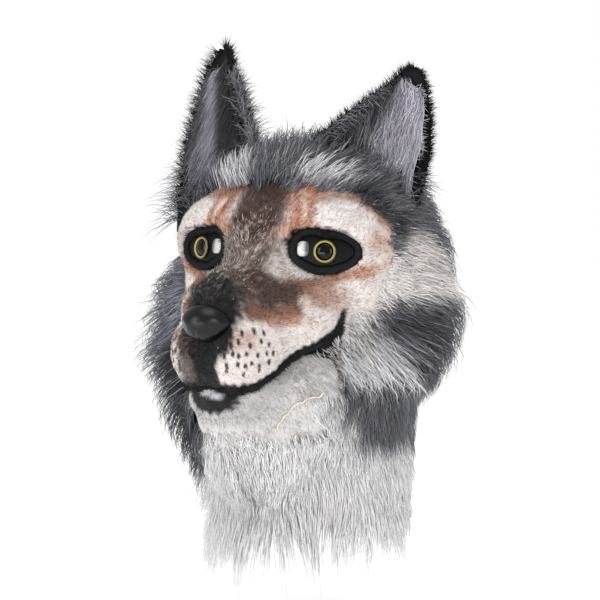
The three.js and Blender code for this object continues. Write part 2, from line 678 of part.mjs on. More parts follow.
// A small unevenness that repeats every seven locks.
function uneven(i, amount) {
  return 1 + amount * (((i * 3) % 7) / 3 - 1);
}

function rowLocks(row, mirror) {
  return Array.from({ length: row.count }, (none, i) => {
    const share = row.count > 1 ? i / (row.count - 1) : 0.5;
    const out = row.out[0] + (row.out[1] - row.out[0]) * share;
    const round = mirror * (row.round[0] + (row.round[1] - row.round[0]) * share);
    const root = coatPoint(out, round, coat.rootSink);
    const normal = outwardAt(wholeDistance, root);
    const back = v3(0, 0.75, -0.15 - row.fall);
    const comb = back.addScaledVector(normal, -back.dot(normal)).normalize();
    const start = normal.clone().multiplyScalar(row.lift).addScaledVector(comb, 1 - row.lift).normalize();
    const bend = v3(0, 0.05, -0.3 * row.fall);
    return lockSolid(root, start, bend, row.long * uneven(i, 0.18), row.wide * uneven(i + 2, 0.1));
  });
}

function hemLocks(row, mirror) {
  return Array.from({ length: row.count }, (none, i) => {
    const share = row.count > 1 ? i / (row.count - 1) : 0.5;
    const turn = THREE.MathUtils.degToRad(mirror * (row.turn[0] + (row.turn[1] - row.turn[0]) * share));
    const way = v3(Math.sin(turn), -Math.cos(turn), 0);
    const root = skinPoint(wholeDistance, v3(0, 0, hem - coat.hang + 10), way, coat.neck * 0.5);
    root.addScaledVector(way, -row.root);
    const start = v3(way.x * 0.06, way.y * 0.06, -1).normalize();
    const bend = way.clone().multiplyScalar(-0.08);
    return lockSolid(root, start, bend, row.long * uneven(i, 0.2) + 12, row.wide);
  });
}

function locksOf(name, mirror) {
  const onHead = lockRows.filter((row) => row.of === name).flatMap((row) => rowLocks(row, mirror));
  const underneath = hemRows.filter((row) => row.of === name).flatMap((row) => hemLocks(row, mirror));
  return [...onHead, ...underneath];
}

// Cutting the pieces out of one another

const mouth = mouthRoom(0);
const eyePockets = joined(eyeFrames.map((frame) => plateSolid(frame, 2 * lid.halfWidth + 2 * gap)));
const cavity = hollow.subtract(mouthRoom(wall));
const faceShell = skin.subtract(cavity).subtract(mouth);
const hoodShell = hoodSkin.subtract(cavity).subtract(underHem).subtract(mouth);
const faceCut = faceCone(0);
const furCut = faceCone(coat.seam);
const nosePocket = noseSolid(gap);
const grownLip = lipSolid(gap);
const headClear = grownSkin.add(grownHoodSkin);
const jawPiece = jawSolid(0, 10, 16).subtract(headClear.subtract(mouthRoom(-gap)));
const jawClear = jawSolid(gap, 10, 16);

const earShells = earFrames.map((frame) => earLeaf(frame, 0, -ear.sink, 1, 0, ear.thickness));
const earClear = joined(earFrames.map((frame) => {
  return earLeaf(frame, -0.01, -ear.sink, 1.01, -gap, ear.thickness + gap);
}));
const liningRise = { low: 0.1, high: 0.86 };
const earLinings = earFrames.map((frame) => {
  const front = -ear.liningThickness - gap;
  return earLeaf(frame, ear.liningMargin, liningRise.low, liningRise.high, front, -gap, 4, 4);
});
const liningClear = joined(earFrames.map((frame) => {
  const front = -ear.liningThickness - 2 * gap;
  const [low, high] = [liningRise.low - 0.01, liningRise.high + 0.01];
  return earLeaf(frame, ear.liningMargin - 0.01, low, high, front, 0, 4, 4);
}));

const coatShell = coatBody.subtract(grownHoodSkin).subtract(underCoat).subtract(furCut).subtract(jawClear);
const crownBlock = block([-beyond, -beyond, crownLine], [beyond, beyond, beyond]);
const crownClear = block([-beyond, -beyond, crownLine - gap], [beyond, beyond, beyond]);
const maneBlock = block([-beyond, backLine, beneath], [beyond, beyond, beyond]);
const maneClear = block([-beyond, backLine - gap, beneath], [beyond, beyond, beyond]);
function bibPrism(grow) {
  const rightSide = [
    [bib.bottomHalfWidth + grow, beneath],
    [bib.bottomHalfWidth + grow, bib.flare + grow],
    [bib.waistHalfWidth + grow, bib.waist + grow],
    [bib.topHalfWidth + grow, bib.top + grow],
  ];
  const leftSide = rightSide.map(([across, up]) => [-across, up]).reverse();
  return frontPrism([...rightSide, ...leftSide], beyond, bib.behind + grow);
}
const leftHalf = block([gap / 2, -beyond, beneath], [beyond, beyond, beyond]);
const rightHalf = block([-beyond, -beyond, beneath], [-gap / 2, beyond, beyond]);

const bodies = {
  crown_fur: coatShell.intersect(crownBlock),
  mane: coatShell.intersect(maneBlock).subtract(crownClear),
  throat_fur: coatShell.intersect(bibPrism(0)).subtract(crownClear).subtract(maneClear),
};
const sides = coatShell.subtract(crownClear).subtract(maneClear).subtract(bibPrism(gap));
bodies.ruff_left = sides.intersect(leftHalf);
bodies.ruff_right = sides.intersect(rightHalf);

// Each coat gives way to the locks of the coats before it, so that no two of them share space.
const keepOut = joined([grownHoodSkin, jawClear, furCut, earClear, liningClear]);
const order = ["crown_fur", "ruff_left", "ruff_right", "throat_fur", "mane"];
const furPieces = {};
let taken = null;
for (const name of order) {
  const mirror = name === "ruff_right" ? -1 : 1;
  const locks = joined(locksOf(name.startsWith("ruff") ? "ruff" : name, mirror));
  let made = mainBody(bodies[name]).add(locks).subtract(keepOut);
  if (taken) made = made.subtract(taken);
  made = mainBody(made);
  furPieces[name] = made;
  taken = taken ? taken.add(made) : made;
}

const plushFace = faceShell.intersect(faceCut).subtract(nosePocket).subtract(eyePockets).subtract(grownLip);
const hood = hoodShell.subtract(faceCone(gap));

// The finished head

const seat = skinPoint(headDistance, heart, v3(0, 0.353, 1).normalize(), -wall);
const head = new THREE.Group();
head.name = "wolf_mask";

function addPiece(name, solid, colour, roughness) {
  const material = new THREE.MeshStandardMaterial({ color: colour, roughness, metalness: 0 });
  const geometry = geometryOf(mainBody(solid));
  geometry.translate(-seat.x, -seat.y, -seat.z);
  geometry.computeVertexNormals();
  const mesh = new THREE.Mesh(geometry, material);
  mesh.name = name;
  head.add(mesh);
}

addPiece("hood", hood, "#6b6c72", 0.9);
addPiece("face_panel", plushFace, "#b07a5e", 0.9);
addPiece("lower_jaw", jawPiece.subtract(grownLip), "#e4dedb", 0.9);
addPiece("nose", noseSolid(0).subtract(nostrilSolid(1)).subtract(nostrilSolid(-1)), "#1b1c1e", 0.4);
addPiece("lip_upper", lipSolid(0), "#151515", 0.8);
eyeFrames.forEach((frame) => {
  addPiece(`eye_plate_${frame.side}`, plateSolid(frame, 0), "#0c0c0d", 0.25);
  addPiece(`iris_${frame.side}`, irisSolid(frame), "#8f8432", 0.35);
  const pupilRadius = iris.radius - 2 * iris.cord - gap;
  const pupil = capSolid(frame, [0, 0], pupilRadius, pupilRadius, pupilRise, 2, 12);
  addPiece(`pupil_${frame.side}`, pupil, "#050505", 0.08);
  const inner = [sclera.along, sclera.above];
  const white = capSolid(frame, inner, sclera.halfLength, sclera.halfHeight, sclera.rise, 2, 8);
  addPiece(`sclera_${frame.side}`, white, "#e9e9e6", 0.15);
  addPiece(`eye_rim_${frame.side}`, rimSolid(frame), "#101010", 0.8);
});
earFrames.forEach((frame, i) => {
  addPiece(`ear_${frame.side}`, earShells[i].subtract(headClear), "#2a2a2d", 0.9);
  addPiece(`ear_lining_${frame.side}`, earLinings[i].subtract(headClear), "#b9b5c3", 0.9);
});
const furColours = {
  crown_fur: "#77787f",
  ruff_left: "#8d8d93",
  ruff_right: "#7f808a",
  mane: "#5f6067",
  throat_fur: "#e8e8ea",
};
order.forEach((name) => addPiece(name, furPieces[name], furColours[name], 0.95));

export default head;
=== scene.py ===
"""Looks of a full-head wolf costume mask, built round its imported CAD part.

Forms are worked out in millimetres about the head's eye level, as the part's source does, and set down in
the shared frame in metres. The head stands on +Z and faces -Y, and its own left side is +X.
"""

import logging
import math
from collections.abc import Callable
from dataclasses import dataclass, field
from enum import Enum

import bpy
import numpy as np
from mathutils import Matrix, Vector


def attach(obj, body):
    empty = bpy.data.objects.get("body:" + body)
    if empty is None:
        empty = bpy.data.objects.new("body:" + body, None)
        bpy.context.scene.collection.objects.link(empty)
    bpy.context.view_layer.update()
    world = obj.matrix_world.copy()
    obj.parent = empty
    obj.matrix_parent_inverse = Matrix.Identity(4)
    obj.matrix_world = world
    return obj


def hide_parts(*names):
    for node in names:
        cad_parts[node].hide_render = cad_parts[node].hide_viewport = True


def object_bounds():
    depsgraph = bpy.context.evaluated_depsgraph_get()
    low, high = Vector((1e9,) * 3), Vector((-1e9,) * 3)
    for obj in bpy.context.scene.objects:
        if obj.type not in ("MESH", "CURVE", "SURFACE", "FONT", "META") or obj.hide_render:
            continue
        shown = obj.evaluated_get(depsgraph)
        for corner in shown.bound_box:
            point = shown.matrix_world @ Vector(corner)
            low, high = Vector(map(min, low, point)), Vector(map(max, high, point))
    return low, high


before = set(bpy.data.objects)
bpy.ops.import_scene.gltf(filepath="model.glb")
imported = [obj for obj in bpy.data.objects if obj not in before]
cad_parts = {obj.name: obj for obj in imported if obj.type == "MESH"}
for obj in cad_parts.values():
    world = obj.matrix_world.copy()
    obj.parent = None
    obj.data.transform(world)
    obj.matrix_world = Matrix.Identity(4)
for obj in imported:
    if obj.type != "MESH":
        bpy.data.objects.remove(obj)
CAD_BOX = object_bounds()

log = logging.getLogger("wolf_mask")
Array = np.ndarray
Distance = Callable[[Array], Array]
Tint = Callable[[Array], Array]
Chance = np.random.Generator
Material = bpy.types.Material
Tree = bpy.types.NodeTree
Spot = tuple[float, float, float]
Row = tuple[float, ...]

SEAT = np.array([0.0, 10.04, 77.60])  # the inside of the crown, which the shared frame takes as its origin
HEART = np.array([0.0, -35.0, -50.0])  # the head is seen from here, way by way
JAW_HEART = np.array([0.0, -84.0, -138.0])
GAP = 0.35
WALL = 4.0
HEM = -215.0
HANG = 11.0
HAIR_ROOM = np.array([16, 16, 19])  # how far hair may reach past the part's box
BLACK_HAIR = 0.006
NO_TRIANGLES = np.zeros((0, 3), int)


# Small helpers


def unit(vectors: Array) -> Array:
    """Vectors of length one along the given ones."""
    return vectors / np.maximum(np.linalg.norm(vectors, axis=-1, keepdims=True), 1e-9)


def smooth(value: Array, low: float, high: float) -> Array:
    """An S curve that goes from 0 at low to 1 at high: 3t squared less 2t cubed."""
    share = np.clip((value - low) / (high - low), 0, 1)
    return share * share * (3 - 2 * share)


def folded(rounds: Array) -> Array:
    """Degrees round the head from the crown, the same on both sides, from 0 to 180."""
    turn = np.mod(rounds, 360)
    return np.where(turn > 180, 360 - turn, turn)


def around(count: int) -> Array:
    """Degrees spread evenly round a circle."""
    return np.arange(count) * (360 / count)


def rgb(code: str) -> Array:
    """The linear colour of a hex code."""
    values = np.array([int(code[i:i + 2], 16) for i in (1, 3, 5)]) / 255
    return np.where(values <= 0.04045, values / 12.92, ((values + 0.055) / 1.055) ** 2.4)


def mixed(base: Array, code: str, share: Array) -> Array:
    """Base colours with a share of another colour over them."""
    return base + (rgb(code) - base) * share[..., None]


def plain(code: str, points: Array) -> Array:
    """One colour at every point."""
    return np.broadcast_to(rgb(code), points.shape)


def mirrored(points: Array) -> Array:
    """Points brought over to the head's left side."""
    return np.concatenate([np.abs(points[..., :1]), points[..., 1:]], -1)


class Ripple:
    """Smooth unevenness in space: a sum of sine waves in seeded directions, from about -1 to 1."""

    def __init__(self, size: float, seed: int, waves: int = 9) -> None:
        """Draws the waves.

        Args:
            size: The usual distance between two bumps, in millimetres.
            seed: Which unevenness it is.
            waves: How many waves are summed.
        """
        rng = np.random.default_rng(seed)
        lengths = size * rng.uniform(0.7, 1.6, waves)
        self.ways = unit(rng.normal(size=(waves, 3))) * (2 * np.pi / lengths)[:, None]
        self.starts = rng.uniform(0, 2 * np.pi, waves)

    def at(self, points: Array) -> Array:
        """The unevenness at points."""
        return np.sin(points @ self.ways.T + self.starts).sum(-1) / math.sqrt(len(self.starts) * 0.8)


# The head's form


@dataclass(frozen=True)
class Core:
    """A group of sizes that the head's masses are shares of."""

    across: float
    along: float
    up: float
    at: Spot


SKULL = Core(100, 100, 80, (0, 0, 0))
MUZZLE = Core(40, 80, 40, (0, -80, -50))
JAW = Core(40, 50, 35, (0, -90, -140))
NECK = Core(76, 80, 200, (0, 8, -150))


@dataclass(frozen=True)
class Mass:
    """A rounded mass that melts into its neighbours. Its place and radii are shares of its core's sizes."""

    core: Core
    centre: Spot
    radii: Spot
    melt: float
    pair: bool = False

    def placed(self) -> list[tuple[Array, Array, float]]:
        """Centre, radii and melt in millimetres, and the twin's too."""
        sizes = np.array([self.core.across, self.core.along, self.core.up])
        signs = (1, -1) if self.pair else (1,)
        centre = np.array(self.centre) * sizes
        return [
            (np.array(self.core.at) + centre * (sign, 1, 1), np.array(self.radii) * sizes, self.melt)
            for sign in signs
        ]


UPPER = (
    Mass(SKULL, (0, 0.1, 0.02), (0.97, 1.04, 1.0), 10),
    Mass(SKULL, (0.48, -0.34, 0.1), (0.56, 0.48, 0.56), 14, True),
    Mass(SKULL, (0.6, -0.16, -0.5), (0.5, 0.46, 0.66), 14, True),
    Mass(SKULL, (0.42, -0.25, -1.25), (0.42, 0.48, 0.72), 18, True),
    Mass(SKULL, (0, 0.3, -0.85), (0.76, 0.62, 0.9), 16),
    Mass(NECK, (0, 0, 0), (1, 1, 1), 20),
    Mass(MUZZLE, (0, 0.04, 0.95), (0.66, 0.34, 0.85), 14),
    Mass(MUZZLE, (0, -0.32, 0.55), (0.64, 0.4, 0.62), 14),
    Mass(MUZZLE, (0, -0.66, 0.22), (0.62, 0.36, 0.62), 14),
    Mass(MUZZLE, (0, -0.3, -0.2), (1.0, 0.56, 0.9), 14),
    Mass(MUZZLE, (0.44, -0.68, -0.7), (0.5, 0.32, 0.72), 8, True),
    Mass(MUZZLE, (0.72, -0.36, -0.6), (0.48, 0.48, 0.72), 16, True),
    Mass(MUZZLE, (0, -0.62, -0.75), (0.5, 0.34, 0.72), 8),
    Mass(MUZZLE, (1.16, 0.06, -0.05), (0.64, 0.4, 0.85), 18, True),
)
LOWER = (
    Mass(JAW, (0, 0.04, 0.34), (1.1, 0.92, 1.14), 14),
    Mass(JAW, (0, -0.56, 0.8), (0.85, 0.64, 0.74), 12),
    Mass(JAW, (0, 0.24, -0.57), (1.0, 0.6, 0.97), 18),
    Mass(JAW, (1.05, 0.48, 0.91), (0.7, 0.6, 1.37), 18, True),
)


def melted(a: Array, b: Array, melt: float) -> Array:
    """The lesser of two distances, rounded over where they are within `melt` of each other."""
    share = np.maximum(melt - np.abs(a - b), 0) / melt
    return np.minimum(a, b) - share * share * melt / 4


@dataclass
class HeadForm:
    """The head as distances: less than nought inside, more outside, in millimetres."""

    eye_place: Spot = (58, -68, 3)
    pit_radii: Spot = (30, 17, 20)
    pit_melt: float = 12
    jaw_melt: float = 12
    lip_ahead: Row = (64, 80, 107, 134, 142)
    lip_up: Row = (-50, -63, -80, -99, -103)
    room_up: Row = (-104, -72, -50)
    room_back: Row = (90, 72, 64)

    def __post_init__(self) -> None:
        """Places the masses and the hollows that the eyes sit in."""
        self.upper = [made for mass in UPPER for made in mass.placed()]
        self.lower = [made for mass in LOWER for made in mass.placed()]
        x, y, z = self.eye_place
        radii = np.array(self.pit_radii)
        self.pits = [(np.array([sign * x, y - radii[1], z]), radii, self.pit_melt) for sign in (1, -1)]

    @staticmethod
    def reach(points: Array, centre: Array, radii: Array) -> Array:
        """Near distance to an ellipsoid: k(k - 1) over the slope of k, where k is 1 on its surface."""
        scaled = (points - centre) / radii
        near = np.linalg.norm(scaled, axis=-1)
        slope = np.linalg.norm(scaled / radii, axis=-1)
        return near * (near - 1) / np.maximum(slope, 1e-9)

    def group(self, points: Array, masses: list[tuple[Array, Array, float]]) -> Array:
        """Distance to masses that melt into one another in order."""
        distance = self.reach(points, masses[0][0], masses[0][1])
        for centre, radii, melt in masses[1:]:
            distance = melted(distance, self.reach(points, centre, radii), melt)
        return distance

    def head(self, points: Array) -> Array:
        """Distance to the upper head, with the eye hollows pressed in."""
        distance = self.group(points, self.upper)
        for centre, radii, melt in self.pits:
            distance = -melted(-distance, self.reach(points, centre, radii), melt)
        return distance

    def jaw(self, points: Array) -> Array:
        """Distance to the lower jaw."""
        return self.group(points, self.lower)

    def whole(self, points: Array) -> Array:
        """Distance to the head and the jaw together."""
        return melted(self.head(points), self.jaw(points), self.jaw_melt)

    def lip_height(self, ahead: Array) -> Array:
        """Height of the upper lip's edge at each place ahead of the head's axis."""
        return np.interp(ahead, self.lip_ahead, self.lip_up)

    def room(self, points: Array) -> Array:
        """How deep points lie in the room under the upper lips, more than nought inside it."""
        ahead = -points[..., 1]
        below = self.lip_height(ahead) - points[..., 2]
        return np.minimum(below, ahead - np.interp(points[..., 2], self.room_up, self.room_back))

    def cut(self, points: Array) -> Array:
        """Distance to the upper head with the room under the lips taken away."""
        return np.maximum(self.head(points), self.room(points))

    def outward(self, distance: Distance, points: Array, step: float = 0.6) -> Array:
        """The outward way at points: how the distance grows across, along and up."""
        moves = np.eye(3) * step
        return unit(np.stack([distance(points + move) - distance(points - move) for move in moves], -1))

    def skin(self, distance: Distance, start: Array, ways: Array, level: Array | float = 0.0) -> Array:
        """The outermost points along ways where a distance comes down to a level.

        Args:
            distance: Distance to the form.
            start: Where the ways start, one point or one for each way.
            ways: Unit vectors.
            level: How far outside the form, one number or one for each way.

        Returns:
            The points.
        """
        shape = ways.shape
        ways = ways.reshape(-1, 3)
        start = np.broadcast_to(start, shape).reshape(-1, 3)
        level = np.broadcast_to(level, shape[:-1]).reshape(-1)
        far = np.full(len(ways), 380.0)
        left = np.arange(len(ways))
        step = 6.0
        while len(left):
            probe = start[left] + ways[left] * (far[left] - step)[:, None]
            outside = distance(probe) > level[left]
            left = left[outside & (far[left] > step)]
            far[left] -= step
        near = np.maximum(far - step, 0)
        return self.closed_in(distance, start, ways, near, far, level, 12).reshape(shape)

    @staticmethod
    def closed_in(distance: Distance, start: Array, ways: Array, near: Array, far: Array,
                  level: Array | float, times: int) -> Array:
        """Halves the span from near to far again and again, keeping the half that the surface is in."""
        for _ in range(times):
            middle = (near + far) / 2
            inside = distance(start + ways * middle[:, None]) < level
            near, far = np.where(inside, middle, near), np.where(inside, far, middle)
        return start + ways * near[:, None]

    def exit(self, distance: Distance, start: Array, ways: Array, step: float = 1.5) -> Array:
        """The first points along ways from a start inside a form where they leave it."""
        shape = ways.shape
        ways = ways.reshape(-1, 3)
        far = np.full(len(ways), step)
        left = np.arange(len(ways))
        while len(left):
            inside = distance(start + ways[left] * far[left][:, None]) < 0
            left = left[inside & (far[left] < 200)]
            far[left] += step
        return self.closed_in(distance, start, ways, far - step, far, 0.0, 10).reshape(shape)


FORM = HeadForm()


def way_at(outs: Array, rounds: Array) -> Array:
    """Ways that are `outs` degrees from straight ahead and `rounds` degrees from the crown over the left."""
    a, b = np.broadcast_arrays(np.radians(outs), np.radians(rounds))
    return np.stack([np.sin(a) * np.sin(b), -np.cos(a), np.sin(a) * np.cos(b)], -1)


def bearings(points: Array) -> tuple[Array, Array]:
    """How many degrees points lie from straight ahead and from the crown, seen from the heart."""
    ways = unit(points - HEART)
    outs = np.degrees(np.arccos(np.clip(-ways[..., 1], -1, 1)))
    return outs, np.mod(np.degrees(np.arctan2(ways[..., 0], ways[..., 2])), 360)


# Meshes from arrays


def row_frame(points: Array) -> Array:
    """Points of the head's own frame in the shared one, in metres."""
    return (points - SEAT) / 1000


@dataclass
class Piece:
    """A mesh being gathered: corner points, faces of three or four corners, and a colour at each point."""

    name: str
    points: list[Array] = field(default_factory=list)
    triangles: list[Array] = field(default_factory=list)
    quads: list[Array] = field(default_factory=list)
    tints: list[Array] = field(default_factory=list)
    count: int = 0

    def add(self, points: Array, tint: Array, triangles: Array | None = None,
            quads: Array | None = None) -> None:
        """Adds a patch of mesh.

        Args:
            points: Corner points, in the head's own frame.
            tint: One linear colour, or one for each point.
            triangles: Faces of three corners.
            quads: Faces of four corners.
        """
        points = points.reshape(-1, 3)
        self.points.append(points)
        self.tints.append(np.broadcast_to(tint.reshape(-1, 3), points.shape))
        if triangles is not None and len(triangles):
            self.triangles.append(triangles + self.count)
        if quads is not None and len(quads):
            self.quads.append(quads + self.count)
        self.count += len(points)

    def ball(self, rings: Array, tint: Array | Tint) -> None:
        """Adds rings closed at both ends, faces outward, in one colour or coloured by a function of place."""
        points, triangles, quads = ball_mesh(rings)
        triangles, quads = outward_faces(points, triangles, quads)
        self.add(points, tint(points) if callable(tint) else tint, triangles, quads)

    def hoop(self, rings: Array, tint: Array) -> None:
        """Adds rings whose last joins the first, faces outward."""
        rows, columns, _ = rings.shape
        quads = grid_quads(rows + 1, columns) % (rows * columns)
        _, quads = outward_faces(rings.reshape(-1, 3), NO_TRIANGLES, quads)
        self.add(rings, tint, None, quads)

    def made(self, material: Material, slot: str, replaces: tuple[str, ...] = ()) -> None:
        """Makes the Blender object, rides it on the frame and hides the part's nodes that it stands for.

        Args:
            material: The finish.
            slot: The record's material slot, which is not used here.
            replaces: CAD nodes that this piece stands for.
        """
        points = row_frame(np.concatenate(self.points)).astype(np.float32)
        tints = np.concatenate(self.tints).astype(np.float32)
        triangles = np.concatenate(self.triangles) if self.triangles else NO_TRIANGLES
        quads = np.concatenate(self.quads) if self.quads else np.zeros((0, 4), int)
        mesh = bpy.data.meshes.new(self.name)
        mesh.vertices.add(len(points))
        mesh.vertices.foreach_set("co", points.ravel())
        corners = np.concatenate([triangles.ravel(), quads.ravel()]).astype(np.int32)
        mesh.loops.add(len(corners))
        mesh.loops.foreach_set("vertex_index", corners)
        sizes = np.concatenate([np.full(len(triangles), 3), np.full(len(quads), 4)])
        mesh.polygons.add(len(sizes))
        mesh.polygons.foreach_set("loop_start", (np.cumsum(sizes) - sizes).astype(np.int32))
        mesh.polygons.foreach_set("use_smooth", np.ones(len(sizes), bool))
        mesh.update(calc_edges=True)
        mesh.validate()
        tint = mesh.color_attributes.new("tint", "FLOAT_COLOR", "POINT")
        solid = np.ones((len(tints), 1), np.float32)
        tint.data.foreach_set("color", np.concatenate([tints, solid], 1).ravel())
        mesh.materials.append(material)
        made = bpy.data.objects.new(self.name, mesh)
        bpy.context.scene.collection.objects.link(made)
        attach(made, "root")
        if replaces:
            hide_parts(*replaces)
        log.info("%s: %d triangles", self.name, len(triangles) + 2 * len(quads))


def grid_quads(rows: int, columns: int, around: bool = True, flip: bool = False) -> Array:
    """Faces of a grid of points, row by row, closed round its columns if `around` is true."""
    i, j = np.meshgrid(np.arange(rows - 1), np.arange(columns if around else columns - 1), indexing="ij")
    after = (j + 1) % columns
    near, far = i * columns, (i + 1) * columns
    quads = np.stack([near + j, near + after, far + after, far + j], -1).reshape(-1, 4)
    return quads[:, ::-1] if flip else quads


def fan(centre: int, ring: Array, flip: bool = False) -> Array:
    """Triangles from a centre point to a ring of points."""
    faces = np.stack([np.full(len(ring), centre), ring, np.roll(ring, -1)], -1)
    return faces[:, ::-1] if flip else faces


def ball_mesh(rings: Array) -> tuple[Array, Array, Array]:
    """Closes rings with a point in the middle of each end ring.

    Returns:
        Points, triangles and quads, facing out where columns turn left about the way from first to last row.
    """
    rows, columns, _ = rings.shape
    points = np.concatenate([rings.reshape(-1, 3), rings[:1].mean(1), rings[-1:].mean(1)])
    last = rows * columns
    ends = [fan(last, np.arange(columns), True), fan(last + 1, (rows - 1) * columns + np.arange(columns))]
    return points, np.concatenate(ends), grid_quads(rows, columns)


def volume(points: Array, triangles: Array, quads: Array) -> float:
    """The volume inside a closed mesh, less than nought if its faces point inwards."""
    faces = np.concatenate([triangles, quads[:, :3], quads[:, [0, 2, 3]]])
    a, b, c = (points[faces[:, k]] for k in range(3))
    return float(np.einsum("ij,ij->i", a, np.cross(b, c)).sum() / 6)


def outward_faces(points: Array, triangles: Array, quads: Array) -> tuple[Array, Array]:
    """The same faces, turned about if they point inwards."""
    if volume(points, triangles, quads) < 0:
        return triangles[:, ::-1], quads[:, ::-1]
    return triangles, quads


def resampled(curves: Array, rows: int) -> Array:
    """Curves (samples, columns, 3) drawn again with points evenly spaced along each."""
    steps = np.linalg.norm(np.diff(curves, axis=0), axis=-1)
    travel = np.concatenate([np.zeros((1, curves.shape[1])), np.cumsum(steps, 0)])
    travel /= travel[-1]
    samples, columns = travel.shape
    base = 2 * np.arange(columns)
    flat = (travel + base).T.ravel()
    want = (np.linspace(0, 1, rows)[:, None] + base).T.ravel()
    first = np.repeat(np.arange(columns) * samples, rows)
    found = np.clip(np.searchsorted(flat, want, side="right") - 1, first, first + samples - 2)
    share = (want - flat[found]) / np.maximum(flat[found + 1] - flat[found], 1e-9)
    places = curves.transpose(1, 0, 2).reshape(-1, 3)
    points = places[found] + (places[found + 1] - places[found]) * np.clip(share, 0, 1)[:, None]
    return points.reshape(columns, rows, 3).transpose(1, 0, 2)


def scattered(grid: Array, count: int, rng: Chance, density: Array) -> tuple[Array, Array]:
    """Points spread over a grid surface by area and density.

    Args:
        grid: Points (rows, columns, 3), closed round its columns.
        count: How many.
        rng: Where the chance comes from.
        density: A number for each cell (rows - 1, columns).

    Returns:
        The points and the way along the grid's rows at each.
    """
    near, far = grid[:-1], grid[1:]
    near_next, far_next = np.roll(near, -1, 1), np.roll(far, -1, 1)
    area = np.linalg.norm(np.cross(far_next - near, far - near_next), axis=-1) / 2
    weight = (area * density).ravel()
    cell = rng.choice(len(weight), count, p=weight / weight.sum())
    u, v = rng.random((2, count, 1))
    a, b, c, d = (part.reshape(-1, 3)[cell] for part in (near, near_next, far, far_next))
    points = (a * (1 - v) + b * v) * (1 - u) + (c * (1 - v) + d * v) * u
    return points, unit((c - a) * (1 - v) + (d - b) * v)


def strands(piece: Piece, paths: Array, widths: Array | float, tints: Array | float, sides: Array) -> None:
    """Adds closed three-sided hairs, whose last point is the tip.

    Args:
        piece: The mesh to add to.
        paths: Points (hairs, steps, 3).
        widths: Width at each ring (hairs, steps - 1), or one for all.
        tints: Colour at each step (hairs, steps, 3), or one level of grey for all.
        sides: A way across each hair (hairs, 3), or one for all.
    """
    hairs, steps, _ = paths.shape
    rings = steps - 1
    widths, tints = np.broadcast_to(widths, (hairs, rings)), np.broadcast_to(tints, (hairs, steps, 3))
    sides = np.broadcast_to(sides, (hairs, 3))
    along = unit(np.gradient(paths, axis=1))[:, :rings]
    across = unit(np.cross(along, sides[:, None, :]) + 1e-6)
    second = np.cross(along, across)
    turns = np.radians(around(3))
    ring = cord(paths[:, :rings], widths / 2, across, second, turns)
    points = np.concatenate([ring.reshape(hairs, -1, 3), paths[:, -1:]], 1)
    colour = np.concatenate([np.repeat(tints[:, :rings], 3, 1), tints[:, -1:]], 1)
    faces = [np.array([[0, 2, 1]])]
    for k in range(rings - 1):
        for j in range(3):
            a, b = 3 * k + j, 3 * k + (j + 1) % 3
            faces.append(np.array([[a, b, b + 3], [a, b + 3, a + 3]]))
    tip = 3 * rings
    faces.append(np.array([[tip - 3 + j, tip - 3 + (j + 1) % 3, tip] for j in range(3)]))
    pattern = np.concatenate(faces)
    triangles = (pattern[None] + (np.arange(hairs) * (tip + 1))[:, None, None]).reshape(-1, 3)
    piece.add(points.reshape(-1, 3), colour.reshape(-1, 3), triangles)


def build_ball(name: str, rings: Array, tint: Array | Tint, material: Material, slot: str,
               *nodes: str) -> None:
    """Makes a piece of one closed form that stands for the named nodes of the part."""
    piece = Piece(name)
    piece.ball(rings, tint)
    piece.made(material, slot, nodes)


def straight(roots: Array, ways: Array, length: Array, sunk: float = 0.1) -> Array:
    """Straight hairs along ways, with a share of each length sunk under its root."""
    return roots[:, None] + ways[:, None] * (np.array([-sunk, 1.0]) * length.reshape(-1, 1))[..., None]


def cord(path: Array, radius: Array, first: Array, second: Array, turns: Array) -> Array:
    """Rings about a path: at each point its radius times (cos, sin) of the turns in two ways across it."""
    around = first[..., None, :] * np.cos(turns)[:, None] + second[..., None, :] * np.sin(turns)[:, None]
    return path[..., None, :] + radius[..., None, None] * around


def across_to(ways: Array, normal: Array) -> Array:
    """Ways without their share along a normal."""
    return ways - (ways * normal).sum(-1, keepdims=True) * normal


def cell_centres(grid: Array) -> Array:
    """The middles of the cells of a grid that closes round its columns."""
    ends = grid[:-1] + grid[1:]
    return (ends + np.roll(ends, -1, 1)) / 4


# Colours of the plush and the fur


class Where(Enum):
    """Which sides of the head a mark is on."""

    BOTH = 0
    LEFT = 1
    RIGHT = -1


@dataclass(frozen=True)
class Mark:
    """A soft-edged mark along a line in space: where it runs, how wide it is, and its colour."""

    name: str
    start: Spot
    end: Spot
    radius: float
    soft: float
    colour: str
    share: float = 1.0
    where: Where = Where.BOTH
    ragged: float = 1.3

    def mask(self, points: Array, noise: Array) -> Array:
        """The mark's strength at points: an S curve over the distance to its line, made ragged by noise."""
        if self.where is Where.BOTH:
            points = mirrored(points)
        start, end = np.array(self.start, float), np.array(self.end, float)
        line = end - start
        share = np.clip((points - start) @ line / max(line @ line, 1e-6), 0, 1)
        away = np.linalg.norm(points - start - share[..., None] * line, axis=-1) + noise * self.ragged
        strength = 1 - smooth(away, self.radius - self.soft, self.radius + self.soft)
        if self.where is not Where.BOTH:
            strength = strength * smooth(points[..., 0] * self.where.value, -6, 6)
        return strength * self.share


